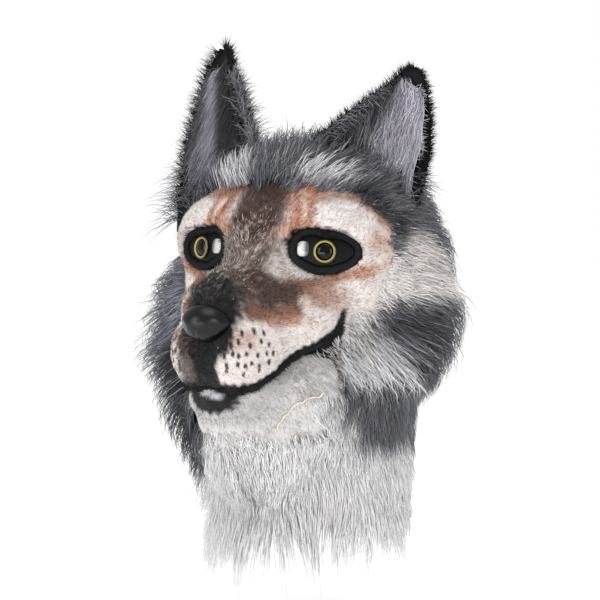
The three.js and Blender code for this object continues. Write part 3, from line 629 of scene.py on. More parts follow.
LEFT, RIGHT = Where.LEFT, Where.RIGHT
FACE_MARKS = (
    Mark("cheek shade", (72, -50, -62), (96, -20, -60), 20, 14, "#ddd5d2", 0.7),
    Mark("forehead rust", (34, -68, 54), (42, -80, 24), 14, 7, "#b68c7a", 0.95),
    Mark("brow rust", (24, -64, 56), (50, -66, 51), 9, 7, "#ad806a", 0.9),
    Mark("brow rust over", (50, -62, 52), (74, -51, 48), 5, 5, "#a58472", 0.88),
    Mark("brow rust outer", (74, -51, 48), (95, -42, 33), 6, 5, "#a8836f", 0.9),
    Mark("brow rust end", (96, -44, 30), (104, -34, 14), 6, 6, "#b5907b", 0.85),
    Mark("brow white", (57, -73, 36), (74, -62, 36), 9, 3.5, "#d6cfcc", 1.0),
    Mark("brow white outer", (72, -64, 33), (92, -56, 21), 6.5, 3.5, "#d6cfcc", 1.0),
    Mark("rust line", (25, -62, 56), (36, -78, 36), 2.0, 2, "#8a5a44", 0.65),
    Mark("rust line low", (36, -78, 36), (40, -83, 22), 2.4, 2, "#8f5c45", 0.75),
    Mark("pale line", (35, -68, 50), (44, -78, 32), 2.0, 1.6, "#dcc6ba", 0.7),
    Mark("second rust line", (43, -59, 52), (49, -76, 34), 1.8, 1.8, "#95634c", 0.6),
    Mark("second rust line low", (49, -76, 34), (49, -80, 25), 2.2, 1.8, "#95634c", 0.65),
    Mark("corner rust", (95, -54, 11), (103, -30, 8), 7.5, 7, "#b88f79", 0.85),
    Mark("under eye pale", (44, -88, -13), (84, -64, -7), 4, 4, "#b5aaa5", 0.6),
    Mark("under eye rust", (49, -90, -22), (66, -74, -18), 6.5, 4, "#7a5645", 0.97),
    Mark("under eye line", (66, -74, -18), (86, -62, -13), 5.2, 4, "#966c57", 0.95),
    Mark("under eye end", (86, -62, -13), (103, -30, -1), 5, 4, "#b48973", 0.9),
    Mark("cheek rust", (44, -93, -28), (61, -84, -29), 13, 6, "#8a6555", 0.97),
    Mark("cheek tan", (66, -80, -30), (73, -72, -34), 10, 9, "#b39587", 0.8),
    Mark("muzzle rust", (30, -134, -41), (51, -107, -43), 9.5, 4.5, "#71503f", 0.97),
    Mark("muzzle rust low", (40, -122, -51), (60, -98, -50), 4, 4, "#b48b77", 0.7),
    Mark("brushed tuft", (55, -98, -34), (59, -97, -37), 4.5, 3, "#cdb8a8", 0.8),
    Mark("inner eye rust", (36, -84, 22), (33, -90, 4), 5, 5, "#9d6a52", 0.9),
    Mark("inner eye brown", (32, -92, 3), (37, -94, -15), 7, 4, "#8a6a5b", 0.92),
    Mark("bridge", (0, -94, 18), (0, -130, -16), 27, 7, "#594942", 0.96),
    Mark("bridge tan", (18, -92, 22), (30, -85, 20), 6, 5, "#b48e7b", 0.8),
    Mark("bridge pale", (-8, -96, 14), (2, -112, -6), 12, 9, "#9a8c86", 0.35),
    Mark("forehead stripe", (0, -62, 60), (0, -87, 29), 22, 6, "#493530", 0.97),
    Mark("forehead dark", (9, -66, 57), (17, -85, 31), 11, 6, "#47342f", 0.9, LEFT),
    Mark("saddle side", (20, -116, -20), (40, -101, -27), 13.5, 5, "#4d3934", 0.98),
    Mark("saddle join", (24, -130, -30), (34, -114, -32), 8, 5, "#4a3733", 0.97),
    Mark("saddle dark", (0, -136, -20), (0, -142, -24), 16, 8, "#4a3c38", 0.9),
    Mark("saddle", (-2, -150, -26), (-2, -154, -34), 18.5, 6, "#2b2424", 0.97),
    Mark("muzzle tan", (24, -153, -65), (36, -147, -64), 8, 5, "#b9a096", 0.85),
    Mark("nose surround", (-2, -142, -40), (-2, -160, -56), 28.5, 4, "#141314", 1.0, ragged=1.6),
    Mark("far lip dark", (-12, -158, -68), (-15, -150, -94), 11, 6, "#2c2524", 0.85, RIGHT),
    Mark("philtrum", (0, -160, -60), (0, -156, -100), 12.5, 3, "#131213", 1.0, ragged=1.2),
    Mark("upper wedge", (93, -38, 38), (104, -20, 14), 8, 6, "#544f50", 0.9),
    # painted shade: grey-brown along the top edge of the face, where the long fur overhangs it
    Mark("brow edge painted shade", (60, -54, 60), (90, -34, 44), 6, 5, "#8a7b78", 0.7),
    Mark("forehead edge painted shade", (0, -56, 66), (40, -54, 64), 5, 5, "#7b6a66", 0.7),
)

# Rows of short dashes where whiskers would grow: height, first and last turn in degrees, and how many.
WHISKER_ROWS = ((-57, 27, 69, 5), (-65.5, 26, 73, 6), (-74, 26, 78, 7), (-82, 30, 74, 6), (-88, 32, 61, 3))

FUR_MARKS = (
    Mark("crown dark", (-40, -40, 84), (40, -30, 92), 26, 16, "#66676d", 0.6),
    Mark("crown light left", (36, -54, 76), (62, -44, 72), 12, 7, "#dedcdf", 0.97, LEFT),
    Mark("crown light middle", (2, -54, 78), (26, -54, 77), 6, 6, "#b9b8bc", 0.7, LEFT),
    Mark("crown light right", (-30, -60, 74), (-54, -60, 72), 12, 7, "#d8d7db", 0.95, RIGHT),
    Mark("temple band", (80, -40, 48), (112, -14, 10), 13, 7, "#3b3b3f", 0.97),
    Mark("temple grey", (96, 10, 62), (112, 30, 30), 20, 14, "#6d6e74", 0.7),
    Mark("front cream", (80, -58, -44), (100, -36, -20), 17, 8, "#efe9e6", 1.0, LEFT),
    Mark("cheek cream", (104, -30, -18), (138, 16, -14), 20, 8, "#f0ebe8", 1.0, LEFT),
    Mark("cheek cream high", (108, -14, 4), (128, 24, 6), 13, 7, "#ece6e3", 0.97, LEFT),
    Mark("far front pale", (-84, -58, -44), (-96, -36, -20), 14, 8, "#b9b9c0", 0.9, RIGHT),
    Mark("charcoal", (114, -40, -52), (150, -10, -52), 12, 8, "#505157", 0.93, LEFT),
    Mark("cheek white low", (88, -70, -58), (94, -56, -84), 15, 8, "#ebe7e5", 1.0, LEFT),
    Mark("pale streak", (100, -52, -74), (128, -36, -78), 6, 5, "#cfced2", 0.9, LEFT),
    Mark("light patch", (88, -60, -92), (122, -36, -96), 13, 6, "#dcdbde", 0.98, LEFT),
    Mark("dark column", (138, -18, -68), (130, -16, -108), 12, 7, "#37373c", 0.95, LEFT),
    Mark("under patch", (100, -36, -116), (118, -20, -122), 8, 7, "#5f6067", 0.8, LEFT),
    Mark("grey patch", (97, -42, -134), (94, -14, -150), 17, 13, "#66676e", 0.95, LEFT),
    Mark("dark streak", (100, -22, -128), (96, -4, -158), 7, 6, "#45464c", 0.7, LEFT),
    Mark("far cheek light", (-116, -40, -22), (-118, -40, -70), 26, 12, "#8b8e99", 0.95, RIGHT),
    Mark("far cheek pale", (-108, -56, -30), (-106, -60, -54), 10, 8, "#bcbfc9", 0.8, RIGHT),
    Mark("far dark band", (-96, -66, -98), (-80, -62, -160), 22, 9, "#2e2f34", 0.97, RIGHT),
    Mark("far edge", (-136, -30, -30), (-140, -24, -70), 9, 7, "#54565e", 0.8, RIGHT),
    Mark("far streak", (-106, -50, -120), (-102, -44, -170), 7, 5, "#8a8c96", 0.6, RIGHT),
    Mark("far temple", (-88, -40, 40), (-108, -24, 8), 14, 9, "#55565c", 0.85, RIGHT),
    Mark("mane dark", (0, 110, 40), (0, 100, -170), 44, 26, "#3c3d42", 0.75),
    Mark("flank light", (70, 80, -60), (80, 60, -150), 24, 18, "#92939b", 0.5),
)


@dataclass
class CoatColours:
    """Where the printed plush and the long fur change colour."""

    ground: str = "#d3cbc7"
    grey: str = "#6f7078"
    white: str = "#efeeef"
    black: str = "#151415"
    bib_near: tuple[Row, Row] = ((60, 90, 130, 158, 172, 200, 260), (76, 76, 66, 68, 108, 130, 140))
    bib_far: tuple[Row, Row] = (
        (60, 90, 130, 142, 150, 168, 186, 204, 260),
        (76, 76, 60, 28, 27, 44, 64, 118, 140),
    )

    def __post_init__(self) -> None:
        """Draws the unevenness that makes the edges of the marks ragged."""
        self.coarse = Ripple(26, 11)
        self.fine = Ripple(7, 12)
        self.speck = Ripple(3.2, 13)

    def paint(self, points: Array, tints: Array, marks: tuple[Mark, ...], spread: float = 1.0) -> Array:
        """Lays marks over colours in order."""
        noise = (0.6 * self.coarse.at(points) + 0.55 * self.fine.at(points)) * spread
        for mark in marks:
            tints = mixed(tints, mark.colour, mark.mask(points, noise))
        return tints

    def face(self, points: Array) -> Array:
        """The colours of the printed face: the marks, brushed streaks, whisker dashes, eye and lip black."""
        tints = self.paint(points, plain(self.ground, points), FACE_MARKS)
        stretched = points * (1, 0.3, 0.5)
        streak = smooth(self.speck.at(stretched), 0.35, 0.9)
        brushed = self.brushed(points)
        tints = mixed(tints, "#dccabf", streak * brushed * 0.75)
        tints = mixed(tints, "#3e2b26", smooth(self.fine.at(stretched * 1.7), 0.5, 1.1) * brushed * 0.6)
        tints = mixed(tints, "#1b1716", self.dashes(points) * 0.95)
        far_side = (points[..., 0] < -6) & (points[..., 1] < -132) & (points[..., 2] < -54)
        mottle = smooth(self.speck.at(points * 1.1), 0.0, 0.7) * far_side
        tints = mixed(tints, "#5b4a45", mottle * 0.7 * smooth(-points[..., 0], 6, 12))
        return self.lips(points, self.lids(points, tints))

    @staticmethod
    def dashes(points: Array) -> Array:
        """How much points lie in the whisker dashes, which sway a little in their rows."""
        muzzle, apart = 120, 0.73
        turn = np.degrees(np.arctan2(np.abs(points[..., 0]), -points[..., 1] - muzzle))
        inked = np.zeros(points.shape[:-1])
        for row, (height, first, last, count) in enumerate(WHISKER_ROWS):
            for k in range(count):
                aside = turn - first - (last - first) * k / (count - 1) - 2.5 * math.sin(5 * k + row)
                above = points[..., 2] - height - 1.5 * math.sin(3 * k + 2 * row)
                away = np.hypot(aside * apart / 1.6, above / (2.9 + 0.6 * math.sin(7 * k + row)))
                inked = np.maximum(inked, 1 - smooth(away, 0.6, 1.15))
        return inked * (points[..., 1] < -124)

    @staticmethod
    def brushed(points: Array) -> Array:
        """Where the plush between the eyes is brushed up: a soft patch that fades within 26 mm."""
        near = (points[..., 0] / 26) ** 2 + ((points[..., 2] - 7) / 21) ** 2
        return np.exp(-near) * smooth(-points[..., 1], 70, 84)

    def lids(self, points: Array, tints: Array) -> Array:
        """Black round the eyes: wider over them than under them."""
        along, above, ahead = EYES[0].local(mirrored(points))
        away = EYES[0].outside(along, above)
        over = smooth(above, -6, 6)
        inner = smooth(-along, 10, 22)
        room = 5.0 + 3.2 * over + 1.5 * inner + 1.3 * self.fine.at(points)
        mask = (1 - smooth(away, room - 1.6, room + 1.6)) * smooth(ahead, -30, -20)
        return mixed(tints, self.black, mask)

    def lips(self, points: Array, tints: Array) -> Array:
        """Black along the edge of the upper lips, widest at the corner of the mouth."""
        ahead = -points[..., 1]
        above = points[..., 2] - FORM.lip_height(ahead)
        corner = 1 - smooth(ahead, 66, 84)
        room = 5.0 + 5.0 * corner + 1.0 * self.fine.at(points)
        mask = (1 - smooth(above, room - 1.6, room + 1.6)) * smooth(ahead, 62, 67)
        return mixed(tints, self.black, mask)

    def jaw(self, points: Array) -> Array:
        """The jaw's colours: pale fleece, painted shade under the lip, the black lower lip and its light
        strip.
        """
        tints = plain("#c9c6c5", points)
        tints = mixed(tints, "#c4c1c1", smooth(self.coarse.at(points), -0.4, 1.2) * 0.6)
        x, z = points[..., 0], points[..., 2]
        ahead = -points[..., 1]
        noise = self.fine.at(points) * 1.4
        # painted shade: the chin just under the lower lip is darkened to grey
        under = np.exp(-(((z + 124) / 12) ** 2)) * smooth(ahead, 104, 130)
        tints = mixed(tints, "#a29f9f", under * 0.75)
        patch = np.sqrt((x / 25) ** 2 + ((z + 109) / 14.5) ** 2) + noise * 0.05
        tints = mixed(tints, self.black, (1 - smooth(patch, 0.86, 1.1)) * smooth(ahead, 110, 122))
        edge = FORM.lip_height(ahead) - z
        rim = (1 - smooth(edge, 1.6 + noise, 4.4 + noise)) * smooth(ahead, 80, 90)
        tints = mixed(tints, self.black, rim)
        strip = np.abs((x + 1) / 15.5) ** 2.5 + np.abs((z + 107.2 + 0.12 * x) / 3.0) ** 2
        return mixed(tints, "#a9a9ad", (1 - smooth(strip, 0.6, 1.1)) * smooth(ahead, 130, 138))

    def fur(self, points: Array) -> Array:
        """The colours of the long fur: grey with its marks, and the white bib under the jaw."""
        tints = plain(self.grey, points)
        tints = mixed(tints, "#84858d", smooth(self.coarse.at(points), 0, 1.2) * 0.6)
        tints = mixed(tints, "#4a4b51", smooth(-self.coarse.at(points * 1.4 + 40), 0.2, 1.3) * 0.7)
        tints = self.paint(points, tints, FUR_MARKS, 3.0)
        x, y, z = points[..., 0], points[..., 1], points[..., 2]
        noise = 6 * self.coarse.at(points) + 4 * self.fine.at(points)
        half = np.where(x < 4, np.interp(-z, *self.bib_far), np.interp(-z, *self.bib_near))
        low = smooth(-z, 158, 178)
        front = 1 - smooth(y + 0.4 * noise - 34 * low, 4, 40)
        bib = (1 - smooth(np.abs(x - 4) + 0.6 * noise, half - 6, half + 6)) * front
        return mixed(tints, self.white, bib * smooth(-z + 0.5 * noise, 46, 62))


# Finishes


def feed(tree: Tree, node: bpy.types.Node, inputs: dict) -> None:
    """Sets a node's inputs by name or number: a value is held, and another node's output is joined on."""
    for name, value in inputs.items():
        if isinstance(value, bpy.types.NodeSocket):
            tree.links.new(value, node.inputs[name])
        else:
            node.inputs[name].default_value = value


def add_node(tree: Tree, kind: str, inputs: dict | None = None, **settings: object) -> bpy.types.Node:
    """Adds a shader node.

    Args:
        tree: The tree it goes in.
        kind: Its kind, without the word ShaderNode.
        inputs: What its inputs hold or are joined to.
        settings: Its own attributes, by name.

    Returns:
        The node.
    """
    node = tree.nodes.new("ShaderNode" + kind)
    for name, value in settings.items():
        setattr(node, name, value)
    feed(tree, node, inputs or {})
    return node


def principled(name: str, inputs: dict) -> tuple[Material, Tree, bpy.types.Node]:
    """A new material, its tree and its main shader with some of its inputs set."""
    made = bpy.data.materials.new(name)
    made.use_nodes = True
    shader = made.node_tree.nodes["Principled BSDF"]
    feed(made.node_tree, shader, inputs)
    return made, made.node_tree, shader


def place_in(tree: Tree) -> bpy.types.NodeSocket:
    """The output that gives each point's place in its object."""
    return add_node(tree, "TexCoord").outputs["Object"]


def tint_in(tree: Tree) -> bpy.types.NodeSocket:
    """The output that gives the colour held at each point of the mesh."""
    return add_node(tree, "VertexColor", layer_name="tint").outputs["Color"]


def add_bump(tree: Tree, shader: bpy.types.Node, height: bpy.types.NodeSocket, strength: float,
             depth: float) -> None:
    """Bumps a shader by a height, unless the strength is nought."""
    if strength > 0:
        bump = add_node(tree, "Bump", {"Strength": strength, "Distance": depth, "Height": height})
        feed(tree, shader, {"Normal": bump.outputs["Normal"]})


def nap_group() -> Tree:
    """A node group for napped cloth: it varies a tint in fine flecks and gives a height for the bump.

    Returns:
        The group, with the inputs Tint, Scale and Contrast and the outputs Colour and Height.
    """
    group = bpy.data.node_groups.new("nap", "ShaderNodeTree")
    for name, way, kind, value in (
        ("Tint", "INPUT", "Color", (0.5, 0.5, 0.5, 1)), ("Scale", "INPUT", "Float", 900.0),
        ("Contrast", "INPUT", "Float", 0.3), ("Colour", "OUTPUT", "Color", None),
        ("Height", "OUTPUT", "Float", None),
    ):
        made = group.interface.new_socket(name=name, in_out=way, socket_type="NodeSocket" + kind)
        if value is not None:
            made.default_value = value
    start, end = group.nodes.new("NodeGroupInput"), group.nodes.new("NodeGroupOutput")
    place = place_in(group)
    fine = {"Vector": place, "Scale": start.outputs["Scale"], "Detail": 4.0, "Roughness": 0.7}
    fine = add_node(group, "TexNoise", fine).outputs["Fac"]
    coarse = add_node(group, "TexNoise", {"Vector": place, "Scale": 90.0, "Detail": 3.0}).outputs["Fac"]
    total = add_node(group, "Math", {0: coarse, 1: 0.45, 2: fine}, operation="MULTIPLY_ADD").outputs[0]
    level = {"Value": total, "From Min": 0.5, "From Max": 0.95, "To Min": -0.5, "To Max": 0.5}
    level = add_node(group, "MapRange", level).outputs["Result"]
    strength = {0: level, 1: start.outputs["Contrast"], 2: 1.0}
    strength = add_node(group, "Math", strength, operation="MULTIPLY_ADD").outputs[0]
    shade = add_node(group, "VectorMath", {0: start.outputs["Tint"], "Scale": strength}, operation="SCALE")
    feed(group, end, {"Colour": shade.outputs[0], "Height": total})
    return group


@dataclass(frozen=True)
class NapFinish:
    """Napped cloth or fur, tinted point by point."""

    name: str
    rough: float = 0.85
    specular: float = 0.25
    sheen: float = 0.0
    scale: float = 900.0
    contrast: float = 0.35
    bump: float = 0.25
    depth: float = 0.0006

    def material(self, nap: Tree) -> Material:
        """Builds the material round the shared nap group."""
        made, tree, shader = principled(self.name, {
            "Roughness": self.rough, "Specular IOR Level": self.specular,
            "Sheen Weight": self.sheen, "Sheen Roughness": 0.5,
        })
        inputs = {"Scale": self.scale, "Contrast": self.contrast, "Tint": tint_in(tree)}
        group = add_node(tree, "Group", inputs, node_tree=nap)
        feed(tree, shader, {"Base Color": group.outputs["Colour"]})
        add_bump(tree, shader, group.outputs["Height"], self.bump, self.depth)
        return made


@dataclass(frozen=True)
class MouldedFinish:
    """Moulded plastic, tinted point by point, with a fine unevenness in its gloss."""

    name: str
    rough_low: float
    rough_high: float
    coat: float = 0.0
    scale: float = 300.0
    bump: float = 0.0
    specular: float = 0.5

    def material(self) -> Material:
        """Builds the material: noise drives its roughness and a faint bump."""
        made, tree, shader = principled(self.name, {
            "Coat Weight": self.coat, "Coat Roughness": 0.04, "Specular IOR Level": self.specular,
        })
        noise = {"Vector": place_in(tree), "Scale": self.scale, "Detail": 3.0}
        noise = add_node(tree, "TexNoise", noise).outputs["Fac"]
        level = {"Value": noise, "To Min": self.rough_low, "To Max": self.rough_high}
        level = add_node(tree, "MapRange", level).outputs["Result"]
        feed(tree, shader, {"Base Color": tint_in(tree), "Roughness": level})
        add_bump(tree, shader, noise, self.bump, 0.0003)
        return made


@dataclass(frozen=True)
class KnitFinish:
    """The knitted backing inside the head: rows of small loops."""

    name: str = "knitted_backing"
    rows: float = 21.0
    dark: Row = (0.09, 0.09, 0.1, 1)
    light: Row = (0.2, 0.2, 0.22, 1)

    def material(self) -> Material:
        """Builds the material: two crossed waves make the loops' height, which also shades their colour."""
        made, tree, shader = principled(self.name, {"Roughness": 0.9, "Specular IOR Level": 0.2})
        place, waves = place_in(tree), {}
        for k, (way, share) in enumerate((("Z", 1.0), ("X", 0.7))):
            wave = {"Vector": place, "Scale": self.rows * share, "Distortion": 1.5, "Detail": 1.0}
            waves[k] = add_node(tree, "TexWave", wave, bands_direction=way).outputs["Fac"]
        loops = add_node(tree, "Math", waves, operation="MULTIPLY").outputs[0]
        ramp = add_node(tree, "ValToRGB", {"Fac": loops})
        ramp.color_ramp.elements[0].color = self.dark
        ramp.color_ramp.elements[1].color = self.light
        feed(tree, shader, {"Base Color": ramp.outputs["Color"]})
        add_bump(tree, shader, loops, 0.5, 0.0008)
        return made


class Finishes:
    """All the materials of the mask, each built once."""

    def __init__(self) -> None:
        """Builds the shared nap group and the materials round it."""
        nap = nap_group()
        self.plush = NapFinish("printed_plush", rough=0.9, sheen=0.15, contrast=0.38, bump=0.3).material(nap)
        self.pile = NapFinish("short_pile", rough=0.8, contrast=0.3, bump=0.0).material(nap)
        fleece = NapFinish("fleece", rough=0.95, sheen=0.2, scale=500, contrast=0.12, bump=0.3)
        self.fleece = fleece.material(nap)
        self.black_plush = NapFinish("black_plush", rough=0.8, contrast=0.8, bump=0.5).material(nap)
        fur = NapFinish("long_fur", rough=0.55, specular=0.35, scale=500, contrast=0.4, bump=0.0)
        self.fur = fur.material(nap)
        self.nose = MouldedFinish("nose_plastic", 0.27, 0.37, scale=500, bump=0.15, specular=0.34).material()
        self.eye_black = MouldedFinish("eye_black", 0.36, 0.5, specular=0.14).material()
        self.pupil = MouldedFinish("pupil_gloss", 0.06, 0.12, specular=0.24).material()
        self.iris = MouldedFinish("iris_gold", 0.22, 0.4, coat=0.7, scale=1500, bump=0.2).material()
        self.eye_white = MouldedFinish("eye_white", 0.12, 0.2, coat=0.5).material()
        self.glue = MouldedFinish("dried_glue", 0.3, 0.5, scale=700, bump=0.2).material()
        self.knit = KnitFinish().material()


# Eyes


@dataclass
class Eye:
    """One doll's eye: a black almond plate, a gold ring, a glossy pupil, a white inner corner and its lid."""

    side: str
    sign: int
    middle: Spot = (58, -68, 3)
    turn_out: float = 20
    lean_back: float = 6
    proud: float = 1.5
    bulge: float = 4.5
    half_length: float = 30
    half_height: float = 20
    back: float = 9
    ring_radius: float = 9.4
    ring_cord: float = 1.1
    pupil_rise: float = 2.2
    white_place: tuple[float, float] = (-18.4, 2.2)
    white_half: tuple[float, float] = (5, 6.2)
    white_rise: float = 0.9
    lid_high: float = 3
    lid_wide: float = 3.4
    lid_hairs: int = 1100
    turns: Row = (0, 20, 50, 90, 120, 148, 180, 215, 270, 320, 360)
    reaches: Row = (25, 19.5, 12.6, 9.6, 13.5, 22, 24.5, 15, 10.8, 14.2, 25)

    def __post_init__(self) -> None:
        """Works out the eye's own axes."""
        turn, lean = math.radians(self.turn_out), math.radians(self.lean_back)
        flat = math.cos(lean)
        self.ahead = np.array([self.sign * math.sin(turn) * flat, -math.cos(turn) * flat, math.sin(lean)])
        self.along = np.array([self.sign * math.cos(turn), math.sin(turn), 0])
        self.above = unit(np.array([0, 0, 1]) - self.ahead * self.ahead[2])
        self.place = np.array([self.sign * self.middle[0], self.middle[1], self.middle[2]], float)

    def at(self, along: Array, above: Array, ahead: Array) -> Array:
        """Points in the head's frame from the eye's own sizes."""
        along, above, ahead = (part[..., None] for part in np.broadcast_arrays(along, above, ahead))
        return self.place + along * self.along + above * self.above + ahead * self.ahead

    def local(self, points: Array) -> tuple[Array, Array, Array]:
        """How far points lie along, above and ahead of the eye's middle."""
        away = points - self.place
        return away @ self.along, away @ self.above, away @ self.ahead

    def reach(self, turns: Array) -> Array:
        """The almond's reach at turns in degrees, rounded over at its corners."""
        near = [np.mod(turns + step, 360) for step in (-8, -4, 0, 4, 8)]
        return sum(np.interp(turn, self.turns, self.reaches) for turn in near) / len(near)

    def outside(self, along: Array, above: Array) -> Array:
        """How far points of the eye's face lie outside the almond."""
        return np.hypot(along, above) - self.reach(np.degrees(np.arctan2(above, along)))

    def dome(self, along: Array, above: Array) -> Array:
        """Height of the plate's front: proud + bulge (1 - (along/30) squared - (above/20) squared)."""
        fall = 1 - (along / self.half_length) ** 2 - (above / self.half_height) ** 2
        return self.proud + self.bulge * fall

    def edge(self, turns: Array, grow: float) -> tuple[Array, Array]:
        """The almond's edge at turns in degrees, moved out by `grow`."""
        angle = np.radians(turns)
        reach = self.reach(turns)
        x, y = reach * np.cos(angle), reach * np.sin(angle)
        across = np.stack([np.gradient(y), -np.gradient(x)], -1)
        across[[0, -1]] = across[[1, -2]]
        across = unit(across)
        return x + across[:, 0] * grow, y + across[:, 1] * grow

    def plate(self) -> Array:
        """Rings of the black plate, from its middle to the almond's edge, then the flat back."""
        x, y = self.edge(around(72), 0.0)
        shares = np.linspace(0.06, 1, 14)[:, None]
        front = self.at(x * shares, y * shares, self.dome(x * shares, y * shares))
        shares = np.array([[1], [0.96], [0.5], [0.06]])
        behind = self.at(x * shares, y * shares, np.array([[1], [0], [0], [0]]) - self.back)
        return np.concatenate([front, behind])

    def cap(self, middle: tuple[float, float], half: tuple[float, float], rise: float,
            corner: float = 2.0) -> Array:
        """Rings of a low oval cap: its lift is rise times the square root of 1 less its reach squared."""
        turns = np.radians(around(48))
        square = (np.abs(np.cos(turns)) ** corner + np.abs(np.sin(turns)) ** corner) ** (-1 / corner)
        rings = []
        for shares in ((0.08, 0.25, 0.42, 0.58, 0.72, 0.84, 0.93, 0.98, 1.0), (0.97, 0.5, 0.08)):
            share = np.array(shares)[:, None]
            x = middle[0] + share * half[0] * np.cos(turns) * square
            y = middle[1] + share * half[1] * np.sin(turns) * square
            lift = GAP / 2 if rings else GAP + rise * np.sqrt(np.maximum(1 - share ** 2, 0))
            rings.append(self.at(x, y, self.dome(x, y) + lift))
        return np.concatenate(rings)

    def white_tint(self, points: Array) -> Array:
        """The white of the inner corner, darkened towards the gold ring as painted shade."""
        along = self.local(points)[0] - self.white_place[0]
        # painted shade: blue-grey over the white's side next to the gold ring
        return mixed(plain("#c9c8c4", points), "#4b5058", smooth(along, -0.5, 3.5))

    def ring(self, finishes: Finishes) -> None:
        """The gold ring: a round cord of 12 sides round the pupil, darker towards its outside."""
        turns = np.radians(around(96))
        sides = np.radians(around(12))
        reach = self.ring_radius - self.ring_cord + 0.1 + self.ring_cord * np.cos(sides)
        x, y = np.cos(turns)[:, None] * reach, np.sin(turns)[:, None] * reach
        high = self.dome(x, y) + GAP + self.ring_cord * (1 + np.sin(sides))
        points = self.at(x, y, high)
        shade = smooth(np.broadcast_to(np.cos(sides), x.shape), -0.7, 0.3)
        piece = Piece(f"gold_ring_{self.side}")
        piece.hoop(points, mixed(plain("#b5a44a", points), "#5f561c", shade))
        piece.made(finishes.iris, "iris_gold", (f"iris_{self.side}",))

    def lid(self, finishes: Finishes) -> None:
        """The black rolled lid: an oval cord round the plate with short pile on it."""
        x, y = self.edge(around(90), self.lid_wide + GAP)
        heights = self.dome(0.85 * x, 0.85 * y) - 0.5
        sides = np.radians(around(10))
        out_x, out_y = np.gradient(y), -np.gradient(x)
        across = unit(np.stack([out_x, out_y], -1))
        wide = self.lid_wide * np.sin(sides)
        points = self.at(x[:, None] + across[:, :1] * wide, y[:, None] + across[:, 1:] * wide,
                         heights[:, None] + self.lid_high * np.cos(sides))
        piece = Piece(f"lid_{self.side}")
        piece.hoop(points, rgb("#131314"))
        rng = np.random.default_rng(30 + self.sign)
        hairs = self.lid_hairs
        ring, side = rng.integers(0, 90, hairs), rng.integers(0, 10, hairs)
        roots = points[ring, side]
        middle = self.at(x, y, heights)[ring]
        ways = unit(unit(roots - middle) + self.ahead * 0.5 + rng.normal(size=(hairs, 3)) * 0.35)
        over = smooth((roots - self.place) @ self.above, 2, 8)[:, None, None]
        ways = unit(ways + self.along * 0.5 * over[:, 0])
        length = rng.uniform(1.4, 2.8, (hairs, 1, 1)) * (1 + 1.5 * over)
        paths = straight(roots, ways, length)
        strands(piece, paths, 0.5, BLACK_HAIR, ways[:, [1, 2, 0]])
        piece.made(finishes.black_plush, "black_plush", (f"eye_rim_{self.side}",))

    def build(self, finishes: Finishes) -> None:
        """Builds the eye's pieces."""
        side, pupil = self.side, self.ring_radius - 2 * self.ring_cord - GAP + 0.2
        black, white = finishes.eye_black, finishes.eye_white
        build_ball(f"eye_dome_{side}", self.plate(), rgb("#0a0a0b"), black, "eye_black", f"eye_plate_{side}")
        self.ring(finishes)
        cap = self.cap((0, 0), (pupil, pupil), self.pupil_rise)
        build_ball(f"pupil_dome_{side}", cap, rgb("#020202"), finishes.pupil, "eye_black", f"pupil_{side}")
        cap = self.cap(self.white_place, self.white_half, self.white_rise, 3.2)
        build_ball(f"eye_white_{side}", cap, self.white_tint, white, "eye_white", f"sclera_{side}")
        self.lid(finishes)


EYES = (Eye("left", 1), Eye("right", -1))
COLOURS = CoatColours()


# The face, the jaw, the nose and the lips


@dataclass
class Seam:
    """Where the plush face ends and the long fur begins, in degrees."""

    rounds: Row = (0, 14, 35, 56, 72, 95, 119, 147, 163, 180)
    outs: Row = (74, 76, 86, 99, 101, 88, 74, 76, 70, 66)

    def at(self, rounds: Array) -> Array:
        """The angle from straight ahead where the face ends."""
        return np.interp(folded(rounds), self.rounds, self.outs)


SEAM = Seam()


